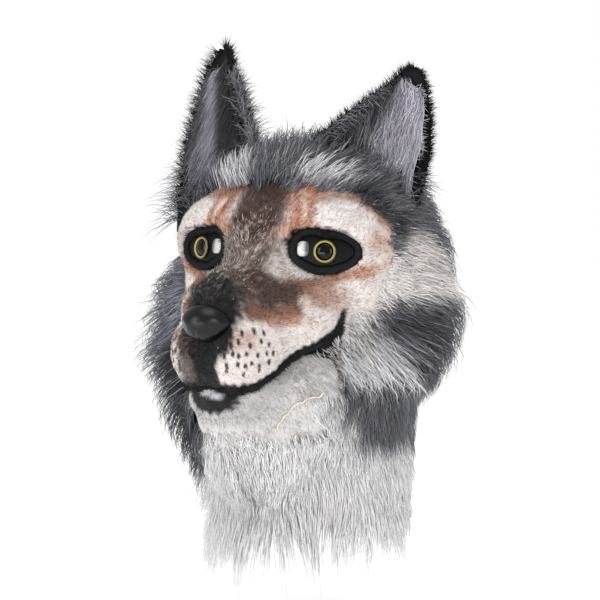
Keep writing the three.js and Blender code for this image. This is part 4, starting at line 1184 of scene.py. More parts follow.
@dataclass
class PlushFace:
    """The printed short plush from the brow to the upper lips, with its pile."""

    rows: int = 101
    columns: int = 260
    thickness: float = 1.1
    hairs: int = 24000
    hair_length: float = 3.0

    def grid(self) -> Array:
        """Rings from the tip of the muzzle to the seam, evenly spaced along each way over the skin."""
        rounds = 180 + around(self.columns)
        shares = np.linspace(0, 1, 360)[:, None] ** 1.15
        outs = 0.6 + shares * (SEAM.at(rounds) + 1.2 - 0.6)
        curves = FORM.skin(FORM.head, HEART, way_at(outs, np.broadcast_to(rounds, outs.shape)))
        return resampled(curves, self.rows)

    def shaped(self, points: Array, level: float) -> Array:
        """Presses the skin in behind the eyes and lifts it to the edge of the lips."""
        for eye in EYES:
            along, above, ahead = eye.local(points)
            away = eye.outside(along, above)
            pressed = eye.dome(along, above) - 3.2 + 0.45 * np.maximum(away, 0)
            near = (away < 8) & (ahead > -40) & (ahead > pressed)
            points = points - np.where(near, ahead - pressed, 0)[..., None] * eye.ahead
        deep = FORM.room(points) - level > 0
        lifted = points * (1, 1, 1)
        lifted[..., 2] = FORM.lip_height(-points[..., 1]) - level
        return np.where(deep[..., None], lifted, points)

    def build(self, finishes: Finishes) -> None:
        """Builds the cloth as a thin closed sheet, and its pile."""
        grid = self.grid()
        outer = self.shaped(grid, 0.0)
        outward = FORM.outward(FORM.head, grid)
        ripple = Ripple(9, 21).at(grid)[..., None] * 0.35
        outer = outer + outward * ripple
        inner = self.shaped(grid - outward * self.thickness, -self.thickness)
        inner = inner[::2, ::2]
        rows, columns = self.rows, self.columns
        inner_rows, inner_columns, _ = inner.shape
        count = rows * columns
        ends = [outer[0].mean(0)[None], inner[0].mean(0)[None]]
        points = np.concatenate([outer.reshape(-1, 3), inner.reshape(-1, 3), *ends])
        quads = [grid_quads(rows, columns), grid_quads(inner_rows, inner_columns, flip=True) + count]
        rim = (rows - 1) * columns + np.arange(columns)
        inner_rim = count + (inner_rows - 1) * inner_columns + np.arange(inner_columns)
        first, second, third = rim[::2], rim[1::2], np.roll(rim, -2)[::2]
        inner_next = np.roll(inner_rim, -1)
        middle = count + inner_rows * inner_columns
        triangles = [
            fan(middle, np.arange(columns), True), fan(middle + 1, count + np.arange(inner_columns)),
            np.stack([first, inner_rim, second], -1), np.stack([second, inner_rim, inner_next], -1),
            np.stack([second, inner_next, third], -1),
        ]
        triangles, quads = outward_faces(points, np.concatenate(triangles), np.concatenate(quads))
        piece = Piece("plush_face")
        piece.add(points, COLOURS.face(points), triangles, quads)
        piece.made(finishes.plush, "face_plush", ("face_panel",))
        self.pile(outer, finishes)

    def pile(self, skin: Array, finishes: Finishes) -> None:
        """Short hairs on the plush, laid back from the nose."""
        rng = np.random.default_rng(22)
        middle = (skin[:-1] + skin[1:]) / 2
        away = np.full(middle.shape[:-1], np.inf)
        for eye in EYES:
            along, above, ahead = eye.local(middle)
            away = np.minimum(away, eye.outside(along, above) + 40 * (ahead < -30))
        density = (away > 1.5) * np.where(FORM.room(middle) > -0.4, 0.05, 1.0) + 1e-4
        roots, back = scattered(skin, self.hairs, rng, density)
        normal = FORM.outward(FORM.head, roots)
        swirl = Ripple(20, 23).at(roots)[:, None] * unit(np.cross(normal, back)) * 0.45
        brushed = COLOURS.brushed(roots)
        tuft = np.exp(-(np.linalg.norm(mirrored(roots) - (58, -97, -35), axis=-1) / 7) ** 2)
        rough = np.maximum(brushed, tuft)
        lift = 0.26 + 0.4 * rough + 0.08 * rng.normal(size=len(roots))
        chance = rng.normal(size=roots.shape) * (0.16 + 0.34 * rough)[:, None]
        ways = unit(back + swirl + chance + normal * lift[:, None])
        outs, rounds = bearings(roots)
        rim = smooth(outs - SEAM.at(rounds), -16, 0)
        length = self.hair_length * (0.8 + 1.2 * rim + 1.7 * rough) * rng.uniform(0.7, 1.25, len(roots))
        length = length * np.where(roots[:, 1] < -120, 0.72, 1.0)
        paths = straight(roots, ways, length, 0.12)
        tints = COLOURS.face(roots)
        level = tints.mean(-1)
        spread = np.where(level > 0.5, 0.06, 0.25)
        shade = 1 + spread[:, None] * rng.uniform(-1, 1, (len(roots), 1))
        pale = (rng.random(len(roots)) < np.where(level > 0.04, 0.4 * rough, 0.004))[:, None]
        tints = np.where(pale, tints * 0.2 + rgb("#f0e6df") * 0.8, tints * shade)
        # painted shade deep in the pile: each hair is darker at its root and a little lighter at its tip
        root = np.where(level > 0.5, 0.95, 0.75)[:, None]
        tints = np.stack([tints * root, np.clip(tints * 1.08, 0, 0.93)], 1)
        piece = Piece("face_pile")
        width = np.where(rough > 0.3, 0.5, 0.62)[:, None]
        strands(piece, paths, width, tints, normal)
        piece.made(finishes.pile, "face_plush")


@dataclass
class FleeceJaw:
    """The lower jaw under the lips: a padded form in short pale fleece."""

    rows: int = 66
    columns: int = 110
    hairs: int = 6500

    def free(self, points: Array) -> Array:
        """Distance to the jaw with the upper head taken away."""
        return np.maximum(FORM.jaw(points), GAP - FORM.cut(points))

    def build(self, finishes: Finishes) -> None:
        """Builds the jaw as rings about its heart, and its pile."""
        ways = way_at(np.linspace(1.5, 178.5, 200)[:, None], around(self.columns))
        grid = resampled(FORM.exit(self.free, JAW_HEART, ways), self.rows)
        outward = FORM.outward(FORM.jaw, grid)
        lumps = Ripple(8, 24).at(grid) * 0.2 + Ripple(24, 25).at(grid) * 1.0
        skin = grid + outward * (np.clip(lumps, -1.5, 1.5) * (FORM.cut(grid) > 2))[..., None]
        piece = Piece("jaw_form")
        piece.ball(skin, COLOURS.jaw)
        self.pile(piece, skin)
        piece.made(finishes.fleece, "jaw_fleece", ("lower_jaw",))

    def pile(self, piece: Piece, skin: Array) -> None:
        """Short fleece hairs, laid down and back."""
        rng = np.random.default_rng(26)
        middle = (skin[:-1] + skin[1:]) / 2
        density = (FORM.cut(middle) > 1.5) * (middle[..., 2] > -190) + 1e-5
        roots, _ = scattered(skin, self.hairs, rng, density)
        normal = FORM.outward(FORM.jaw, roots)
        down = np.array([0, 0.55, -0.8]) + rng.normal(size=roots.shape) * 0.3
        ways = unit(across_to(down, normal) + normal * 0.2)
        length = rng.uniform(2.0, 3.6, len(roots))
        tints = COLOURS.jaw(roots)
        black = tints.mean(-1) < 0.05
        length = np.where(black, length * 0.65, length)
        paths = straight(roots, ways, length)
        shade = rng.uniform(0.98, 1.06, (len(roots), 1))
        # painted shade: the fleece hairs are a touch darker at the root
        tints = np.stack([tints * 0.97, np.clip(tints * shade, 0, 0.95)], 1)
        strands(piece, paths, 0.6, tints, normal)


@dataclass
class JawFringe:
    """Pale hair over the groove between the jaw and the cheek, behind the corners of the mouth."""

    hairs: int = 1900
    reach: float = 10.0

    def build(self, finishes: Finishes) -> None:
        """Grows the hair where the head and the jaw are about as near."""
        rng = np.random.default_rng(35)
        ways = way_at(np.linspace(30, 88, 60)[:, None], around(240))
        grid = FORM.skin(FORM.whole, HEART, ways, 0.2)
        middle = (grid[:-1] + grid[1:]) / 2
        apart = np.abs(FORM.jaw(middle) - FORM.head(middle))
        ahead = -middle[..., 1]
        above = FORM.lip_height(ahead) - middle[..., 2]
        allowed = (ahead < 98) & (middle[..., 2] < -50) & ((above > 4.5) | (ahead < 60))
        roots, _ = scattered(grid, self.hairs, rng, (1 - smooth(apart, self.reach, self.reach + 8)) * allowed)
        normal = FORM.outward(FORM.whole, roots)
        way = np.where(roots[:, :1] < 0, (-0.25, 0.75, -0.55), (0.25, 0.75, -0.55))
        way = way + rng.normal(size=roots.shape) * 0.2
        way = unit(across_to(way, normal) + normal * 0.16)
        share = np.linspace(0, 1, 3)[:, None]
        length = rng.uniform(7, 15, (len(roots), 1, 1))
        paths = roots[:, None] + way[:, None] * share * length - normal[:, None] * share ** 2 * 1.5
        base = COLOURS.jaw(roots) * rng.uniform(0.96, 1.04, (len(roots), 1))
        base = np.maximum(base, rgb("#c4c1c0"))
        # painted shade: the fringe hairs darken a little towards the root
        tints = np.clip(base[:, None] * (0.95 + 0.05 * share), 0, 0.94)
        piece = Piece("jaw_fringe")
        strands(piece, paths, (0.55, 0.44), tints, normal)
        piece.made(finishes.fleece, "jaw_fleece")


@dataclass(frozen=True)
class GlueSeam:
    """A bead of dried glue along a join in the fleece."""

    name: str
    corners: tuple[Spot, ...]
    radius: float = 0.8
    steps: int = 40

    def build(self, finishes: Finishes) -> None:
        """Lays the bead over the fleece as a cord of 7 sides that swells and thins along its way."""
        corners = np.array(self.corners, float)
        share = np.linspace(0, len(corners) - 1, self.steps)
        path = np.stack([np.interp(share, np.arange(len(corners)), corners[:, k]) for k in range(3)], 1)
        path = path + np.stack([Ripple(7, 70 + k).at(path) for k in range(3)], 1) * 0.9
        normal = FORM.outward(FORM.whole, path)
        path = path + normal * (1.6 - FORM.whole(path))[:, None]
        along = unit(np.gradient(path, axis=0))
        aside = unit(np.cross(along, normal))
        over = np.cross(aside, along)
        taper = np.sin(np.linspace(0.15, np.pi - 0.15, self.steps)) ** 0.4
        swell = self.radius * (1 + 0.45 * Ripple(5, 74).at(path)) * taper
        turns = np.radians(around(7))
        rings = cord(path, swell, aside, over, turns)
        build_ball(self.name, rings, rgb("#ddd3b8"), finishes.glue, "jaw_fleece")


GLUE_SEAMS = (
    GlueSeam("glue_seam_front", ((38, -112, -136), (48, -100, -118), (62, -89, -111), (67, -83, -108))),
    GlueSeam("glue_seam_side", ((64, -60, -143), (61, -50, -156), (61, -45, -168))),
)


@dataclass
class Nose:
    """The moulded nose ball at the tip of the muzzle, with its two nostrils."""

    centre: Spot = (0.5, -153.5, -50)
    half: Spot = (20.5, 19, 16)
    nostril: Spot = (13, -12, -3)
    nostril_radius: float = 4.2

    def build(self, finishes: Finishes) -> None:
        """A squashed ball, narrower under its middle; the nostrils are pressed in as two soft dents."""
        ways = way_at(np.linspace(2, 178, 50)[:, None], around(72))
        under = np.where(ways[..., 2] < 0, 1 - 0.12 * ways[..., 2] ** 2, 1)
        points = np.stack([ways[..., 0] * self.half[0] * under, ways[..., 1] * self.half[1],
                           ways[..., 2] * self.half[2] * (1 - 0.1 * ways[..., 0] ** 2)], -1)
        for sign in (1, -1):
            dent = np.array(self.nostril) * (sign, 1, 1)
            away = (points - dent) / (np.array([1.25, 1.2, 0.9]) * self.nostril_radius)
            points = points * (1 - 0.12 * np.exp(-(away ** 2).sum(-1) * 1.1))[..., None]
        crease = np.exp(-((points[..., 0] / 1.3) ** 2)) * smooth(-points[..., 2], 2, 10)
        crease = crease * smooth(-points[..., 1], 4, 12)
        points = points * (1 - 0.04 * crease)[..., None]
        points = points + np.array(self.centre, float)
        build_ball("nose_ball", points, rgb("#050506"), finishes.nose, "nose_plastic", "nose")


@dataclass
class UpperLip:
    """The black plush roll along the edge of the upper lips, from corner to corner."""

    cord: float = 4.0
    reach: float = 106.0
    fineness: float = 0.55
    steps: int = 150
    hairs: int = 3800

    def path(self) -> Array:
        """Points of the lip's edge, found again until their height fits their place ahead."""
        turns = np.radians(np.linspace(-self.reach, self.reach, self.steps))
        ways = np.stack([np.sin(turns), -np.cos(turns), np.zeros(self.steps)], -1)
        place = np.tile(np.array([0.0, -130.0, -110.0]), (self.steps, 1))
        for _ in range(8):
            start = np.zeros((self.steps, 3))
            start[:, 1] = -88
            start[:, 2] = (FORM.lip_height(-place[:, 1]) + place[:, 2]) / 2
            place = FORM.skin(FORM.head, start, ways, -1.0)
        return place

    def build(self, finishes: Finishes) -> None:
        """Builds the roll as a cord of 14 sides with short pile on it."""
        path = self.path()
        along = unit(np.gradient(path, axis=0))
        out = FORM.outward(FORM.head, path)
        out = unit(across_to(out, along))
        aside = np.cross(along, out)
        share = np.linspace(0, 1, self.steps)
        radius = self.cord * (self.fineness + (1 - self.fineness) * np.sin(np.pi * share))
        radius = radius * (1 + 0.12 * Ripple(14, 27).at(path))
        sides = np.radians(around(14))
        rings = cord(path, radius, out, aside, sides)
        piece = Piece("lip_roll")
        piece.ball(rings, rgb("#131213"))
        rng = np.random.default_rng(28)
        ring, side = rng.integers(1, self.steps - 1, self.hairs), rng.integers(0, 14, self.hairs)
        roots = rings[ring, side]
        ways = unit(unit(roots - path[ring]) + (0, 0.5, -0.25) + rng.normal(size=roots.shape) * 0.4)
        paths = straight(roots, ways, rng.uniform(1.4, 3.4, self.hairs))
        strands(piece, paths, 0.6, BLACK_HAIR, out[ring])
        piece.made(finishes.black_plush, "black_plush", ("lip_upper",))


# The lining, the ears and the long fur


def block_shell(top: Array, bottom: Array, keep: Array) -> tuple[Array, Array]:
    """A closed block over the kept cells of a grid that closes round its columns.

    Args:
        top: The upper points (rows, columns, 3).
        bottom: The lower points, in the same shape.
        keep: Which cells (rows - 1, columns) belong to the block.

    Returns:
        Points and quads: a lid, a floor, and a wall wherever a kept cell meets one that isn't.
    """
    rows, columns, _ = top.shape
    count = rows * columns
    cells = grid_quads(rows, columns)
    kept = keep.ravel()
    framed = np.pad(keep, ((1, 1), (0, 0)))
    beside = (framed[:-2], np.roll(keep, -1, 1), framed[2:], np.roll(keep, 1, 1))
    faces = [cells[kept], cells[kept][:, ::-1] + count]
    for k, other in enumerate(beside):
        wall = cells[kept & ~other.ravel()]
        first, second = wall[:, k], wall[:, (k + 1) % 4]
        faces.append(np.stack([second, first, first + count, second + count], -1))
    faces = np.concatenate(faces)
    used, faces = np.unique(faces, return_inverse=True)
    points = np.concatenate([top.reshape(-1, 3), bottom.reshape(-1, 3)])[used]
    return points, faces.reshape(-1, 4)


@dataclass
class HeadLining:
    """The padded hollow head under the fur, open at the neck hem."""

    columns: int = 90
    polar_rows: int = 20
    level_rows: int = 46
    pole: Spot = (0, 5, -25)

    def sheet(self, level: float) -> Array:
        """Rings from the crown to the hem at one depth under the skin."""
        turns = np.radians(around(self.columns))
        tilts = np.radians(np.linspace(1.5, 90, self.polar_rows))[:, None]
        flat = np.stack([np.sin(turns), -np.cos(turns), np.zeros(self.columns)], -1)
        ways = np.sin(tilts)[..., None] * flat + np.cos(tilts)[..., None] * np.array([0, 0, 1.0])
        cap = FORM.skin(FORM.cut, np.array(self.pole, float), ways, level)
        heights = np.linspace(self.pole[2], HEM, self.level_rows)[1:]
        starts = np.zeros((len(heights), self.columns, 3)) + (0, self.pole[1], 0)
        starts[..., 2] = heights[:, None]
        return np.concatenate([cap, FORM.skin(FORM.cut, starts, np.broadcast_to(flat, starts.shape), level)])

    @staticmethod
    def pressed(points: Array, room: float) -> Array:
        """Presses a sheet in behind the eyes' plates, with slopes round them."""
        for eye in EYES:
            along, above, ahead = eye.local(points)
            deepest = -eye.back - room + 0.8 * np.maximum(eye.outside(along, above) - 6, 0)
            near = (ahead > -45) & (ahead > deepest)
            points = points - np.where(near, ahead - deepest, 0)[..., None] * eye.ahead
        return points

    def build(self, finishes: Finishes) -> None:
        """Builds the outer and inner sheets and joins them with a rim at the hem."""
        outer, inner = self.pressed(self.sheet(-1.6), 1.5), self.pressed(self.sheet(-WALL), 4.0)
        rings = np.concatenate([outer, inner[::-1]])
        build_ball("head_lining", rings, rgb("#3a3a3e"), finishes.knit, "backing_cloth", "hood")


@dataclass
class Ear:
    """One cupped ear: a black short-haired shell and a pale long-haired lining in it."""

    side: str
    sign: int
    inner: Spot
    outer: Spot
    tip: Spot
    thickness: float = 7
    lining_thickness: float = 4
    margin: float = 0.13
    cup: float = 17
    flatten: float = 0.55
    dark_side: float = -0.3
    fluff_sweep: float = 0.45
    shag: float = 1.0
    dark_outer: float = 1.3
    lining: str = "#dcd9e4"
    pile_hairs: int = 4000
    fluff_hairs: int = 900
    long_hairs: int = 2400
    rises: Row = (0, 0.25, 0.5, 0.75, 0.93, 1)
    widths: Row = (1, 0.86, 0.68, 0.44, 0.24, 0.14)
    bows: Row = (0, 0.03, 0.05, 0.05, 0.02, 0)

    def __post_init__(self) -> None:
        """Works out the ear's axes."""
        inner, outer, tip = (np.array(corner, float) for corner in (self.inner, self.outer, self.tip))
        self.foot = (inner + outer) / 2
        self.up = tip - self.foot
        self.out = outer - inner
        self.ahead = unit(np.cross(self.out, self.up) * self.sign)

    def at(self, side: Array, rise: Array, inset: float, back: Array) -> Array:
        """Points at a side from -1 to 1, a rise from 0 to 1 and a depth behind the front."""
        side, rise, back = np.broadcast_arrays(side, rise, back)
        narrow = np.sqrt(np.clip(1 - (np.maximum(rise - 0.93, 0) / 0.106) ** 2, 0, 1))
        width = np.interp(rise, self.rises, self.widths) * (1 - 2 * inset) * narrow
        bow = np.interp(rise, self.rises, self.bows)
        cup = self.cup * (1 - (side * (1 - inset)) ** 2) * (1 - self.flatten * rise)
        return (self.foot + rise[..., None] * self.up + (0.5 * width * side + bow)[..., None] * self.out
                - (cup + back)[..., None] * self.ahead)

    def leaf(self, low: float, high: float, inset: float, front: float, back: float, rows: int,
             columns: int) -> Array:
        """Rings round a leaf of cloth: its front from edge to edge, then its back, with rounded edges."""
        turns = (np.arange(2 * columns) + 0.5) * (np.pi / columns)
        side = np.cos(turns)
        full = np.sqrt(np.clip(1 - np.abs(side) ** 6, 0.02, 1)) * np.sign(np.sin(turns))
        rise = np.linspace(low, high, rows)[:, None]
        middle, half = (front + back) / 2, (back - front) / 2
        points = self.at(np.broadcast_to(side, (rows, 2 * columns)), rise, inset, middle - half * full)
        for _ in range(3):
            deep = 0.6 - FORM.cut(points)
            points = points + FORM.outward(FORM.cut, points) * np.maximum(deep, 0)[..., None]
        return points

    def build(self, finishes: Finishes) -> None:
        """Builds the shell with its pile, then the lining with its long strands."""
        rng = np.random.default_rng(40 + self.sign)
        shell = Piece(f"ear_shell_{self.side}")
        shell.ball(self.leaf(-0.16, 1.032, 0.0, 0.0, self.thickness, 46, 30), rgb("#17171a"))
        self.pile(shell, rng)
        self.fluff(shell, rng)
        shell.made(finishes.black_plush, "ear_plush", (f"ear_{self.side}",))
        lining = Piece(f"ear_lining_fur_{self.side}")
        leaf = self.leaf(0.1, 0.86, self.margin, -self.lining_thickness - GAP, -GAP, 32, 22)
        # painted shade: the lining's backing is darkened to 0.6 so the gaps between its strands look deep
        lining.ball(leaf, lambda points: self.lining_tint(points) * 0.6)
        self.long_strands(lining, rng)
        lining.made(finishes.fur, "lining_fur", (f"ear_lining_{self.side}",))

    def pile(self, piece: Piece, rng: Chance) -> None:
        """Short black hairs over the shell's back, its edges and the bare margin of its front."""
        count = self.pile_hairs
        side = np.sign(rng.uniform(-1, 1, count)) * rng.uniform(0, 1, count) ** 0.45
        rise = rng.uniform(0.0, 1.02, count) ** 0.9
        back = rng.random(count) < 0.6
        side = np.where(back, rng.uniform(-1, 1, count), np.sign(side) * (0.72 + 0.28 * np.abs(side)))
        edge = np.sqrt(np.clip(1 - np.abs(side) ** 6, 0.02, 1)) * self.thickness / 2
        depth = self.thickness / 2 + np.where(back, edge, -edge)
        roots = self.at(side, rise, 0.0, depth)
        across = unit(self.out) * np.sign(side)[:, None] * (np.abs(side) ** 3)[:, None]
        facing = self.ahead * np.where(back, -1, 1)[:, None]
        ways = unit(unit(self.up) * 0.75 + across * 0.8 + facing * 0.45 + rng.normal(size=roots.shape) * 0.3)
        length = rng.uniform(3.0, 8.0, count) * (0.7 + 0.5 * np.abs(side) ** 4) * self.shag
        free = FORM.cut(roots) > 0.5
        paths = straight(roots, ways, length)
        shade = rng.uniform(0.5, 1.5, (count, 1))
        base = np.where((back & (rise < 0.6))[:, None], rgb("#3c3c41"), rgb("#141416")) * shade
        # painted shade: each pile hair is darker at its root and lighter at its tip
        tints = np.stack([base * 0.7, base * 1.2], 1)
        strands(piece, paths[free], 0.8, tints[free], facing[free])

    def fluff(self, piece: Piece, rng: Chance) -> None:
        """Long grey curls at the ear's foot and up its inner edge."""
        count = int(self.fluff_hairs * self.shag)
        inner = rng.random(count) < 0.5
        rise = np.where(inner, rng.uniform(0, 0.75, count), rng.uniform(-0.1, 0.3, count))
        side = np.where(inner, rng.uniform(-1, -0.8, count), 1 - 1.8 * rng.random(count) ** 1.4)
        roots = self.at(side, rise, 0.0, rng.uniform(-1, 5, count))
        up, out = unit(self.up), unit(self.out)
        across = np.where(inner, self.fluff_sweep, 0.75 * side)[:, None]
        ways = up * 0.6 + out * across + self.ahead * rng.uniform(0, 0.5, (count, 1))
        ways = unit(ways + rng.normal(size=roots.shape) * 0.3)
        share = np.linspace(0, 1, 4)[:, None]
        length = rng.uniform(9, 24, (count, 1, 1)) * (1 - 0.5 * rise[:, None, None]) * self.shag ** 0.9
        curl = np.sin(share * 5 + rng.uniform(0, 6, (count, 1, 1))) * share * 3
        fall = (0, 0, 1) * share ** 2 * length * 0.35
        paths = roots[:, None] + ways[:, None] * share * length + curl * out - fall
        base = mixed(plain("#6e6f77", roots), "#b3b2ba", rng.random(count) ** 2)
        # painted shade: the curls darken towards their roots
        tints = np.clip(base[:, None] * np.array([0.5, 0.85, 1.0, 1.1])[:, None], 0, 0.9)
        width = rng.uniform(0.4, 0.8, (count, 1)) * np.array([1, 0.9, 0.6])
        strands(piece, paths, width, tints, self.ahead)

    def lining_tint(self, points: Array) -> Array:
        """Lavender grey, dark towards the inner side (its dark plush and painted shade in the cup) and its
        foot.
        """
        axes = np.stack([self.up, self.out])
        parts = (points - self.foot) @ axes.T @ np.linalg.inv(axes @ axes.T)
        rise = parts[..., 0]
        side = 2 * parts[..., 1] / np.interp(rise, self.rises, self.widths)
        noise = 0.1 * Ripple(9, 41).at(points * (1, 1, 0.35))
        # painted shade in the cup, on top of the dark plush of the ear's inner side
        dark = 1 - smooth(side + noise, self.dark_side - 0.2, self.dark_side + 0.2)
        dark = np.maximum(dark, 0.8 * smooth(side + noise, self.dark_outer, self.dark_outer + 0.35))
        low = 1 - smooth(rise + 0.4 * noise, 0.1, 0.24)
        tints = mixed(plain(self.lining, points), "#a4a1ae", smooth(noise, 0.02, 0.2) * 0.6)
        tints = mixed(tints, "#2a292d", dark * 0.92)
        return mixed(tints, "#55545b", low * 0.6)

    def long_strands(self, piece: Piece, rng: Chance) -> None:
        """Long pale strands from the cup's inner side, drawn down and outwards over it."""
        count = self.long_hairs
        side, rise = rng.uniform(-0.98, 0.9, count), 0.12 + 0.78 * rng.random(count) ** 0.85
        roots = self.at(side, rise, self.margin, -self.lining_thickness + 0.5)
        up, out = unit(self.up), unit(self.out)
        drift = 0.35 + 0.2 * Ripple(30, 43).at(roots)
        ways = -up * 0.85 + out * drift[:, None] + self.ahead * 0.3
        ways = unit(ways + rng.normal(size=roots.shape) * 0.12)
        crossing = (rng.random(count) < 0.22)[:, None]
        other = up * 0.4 + out * np.sign(side)[:, None] * 0.7 + self.ahead * 0.35 + drift[:, None] * 0.2
        ways = np.where(crossing, unit(other + rng.normal(size=roots.shape) * 0.25), ways)
        length = rng.uniform(14, 30, count) * (1 - 0.35 * smooth(rise, 0.6, 0.9))
        length = length * np.where(crossing[:, 0], 0.5, 1)
        share = np.linspace(0, 1, 4)[:, None]
        sag = rng.uniform(0.05, 0.3, (count, 1, 1)) * length[:, None, None]
        paths = roots[:, None] + ways[:, None] * share * length[:, None, None] - up * share ** 2 * sag
        paths = paths + out * (np.sin(share * 4 + rng.uniform(0, 6, (count, 1, 1))) * share * 1.6)
        width = rng.uniform(0.5, 0.9, (count, 1)) * np.array([1, 0.9, 0.6])
        base = self.lining_tint(roots + ways * 6) * rng.uniform(0.55, 1.25, (count, 1))
        # painted shade: the strands darken towards their roots
        tints = base[:, None] * np.array([0.75, 0.92, 1.0, 1.05])[None, :, None]
        free = FORM.cut(roots) > 0
        strands(piece, paths[free], width[free], np.clip(tints[free], 0, 0.9), self.ahead)


EARS = (
    Ear("left", 1, (14, -20, 92.8), (96, 10, 33.6), (97, 8, 148.8)),
    # painted shade: the right ear's lining is a darker lavender than the left's, the same cloth in less light
    Ear("right", -1, (-36, -26, 78.4), (-118, -32, 33.6), (-100, 10, 171.2), dark_side=-0.1,
        fluff_sweep=-0.35, shag=1.6, dark_outer=0.45, lining="#c3c0cc"),
)


@dataclass
class CoatDepth:
    """How deep the long fur is, by direction from the heart."""

    crown: float = 26
    side: float = 17
    cheek: float = 43
    neck: float = 11
    throat: float = 16
    outs: Row = (0, 100, 120, 150, 180)
    thins: Row = (1, 1, 0.8, 0.5, 0.55)

    def __post_init__(self) -> None:
        """Lays out the depth round the head for each side."""
        c, s, k, n, t = self.crown, self.side, self.cheek, self.neck, self.throat
        self.rounds = (0, 50, 72, 84, 102, 116, 130, 146, 160, 180)
        self.left = (c, s, 0.75 * k, k, k, 0.75 * k, 0.38 * k, n, n, t)
        self.right = (c, 1.1 * s, 0.9 * k, 1.1 * k, 1.15 * k, 1.1 * k, k, 0.75 * k, 0.9 * t, t)

    def at(self, outs: Array, rounds: Array) -> Array:
        """The fur's depth; it rises from a low start at the face to its full depth."""
        turn = folded(rounds)
        far = np.mod(rounds, 360) > 180
        left, right = (np.interp(turn, self.rounds, depths) for depths in (self.left, self.right))
        full = np.where(far, right, left)
        full = full * np.interp(outs, self.outs, self.thins)
        start, ramp = np.where(far, 22, 7), np.where(far, 7, 18)
        share = np.clip((outs - SEAM.at(rounds)) / ramp, 0, 1)
        return np.minimum(start, full) + np.maximum(full - start, 0) * np.sin(np.pi / 2 * share)


DEPTH = CoatDepth()


@dataclass(frozen=True)
class Comb:
    """Which way the long fur is combed: outwards, back and up, by direction from the heart."""

    rounds: Row = (0, 35, 60, 84, 105, 130, 150, 180)
    outward: Row = (0.05, 0.25, 0.5, 0.85, 0.75, 0.35, 0.2, 0.08)
    back: Row = (0.75, 0.8, 0.75, 0.5, 0.35, 0.25, 0.1, -0.05)
    up: Row = (0.5, 0.3, -0.1, -0.4, -0.8, -1.0, -1.0, -1.0)

    def at(self, points: Array) -> Array:
        """The combed way at points, which turns to straight down behind the head."""
        outs, rounds = bearings(points)
        turn = folded(rounds)
        side = np.where(points[..., 0] < 0, -1, 1)
        way = np.stack([np.interp(turn, self.rounds, self.outward) * side,
                        np.interp(turn, self.rounds, self.back), np.interp(turn, self.rounds, self.up)], -1)
        behind = smooth(outs, 112, 155)[..., None]
        return unit(way * (1 - behind) + np.array([0.05, 0.1, -1.0]) * behind)


@dataclass
class Coat:
    """One part of the long fur: a backing over its part of the head, with strands of hair growing from it."""

    name: str
    node: str
    hairs: int
    length: float
    slot: str
    seed: int
    calm: float = 1.0

    def holds(self, points: Array) -> Array:
        """Which points of the head belong to this coat."""
        x, y, z = points[..., 0], points[..., 1], points[..., 2]
        crown = z > 24
        mane = ~crown & (y > 46)
        half = np.interp(-z, (150, 186, 198, 226), (50, 60, 70, 88))
        throat = ~crown & ~mane & (z < -150) & (np.abs(x) < half) & (y < 24)
        sides = ~crown & ~mane & ~throat
        return {"crown_fur": crown, "mane": mane, "throat_fur": throat,
                "ruff_left": sides & (x >= 0), "ruff_right": sides & (x < 0)}[self.node]


@dataclass(frozen=True)
class Layer:
    """A layer of hair: its share of a coat's hairs, and how its hairs differ from the coat's length."""

    share: float
    steps: int
    long: float
    high: tuple[float, float]
    wisps: float


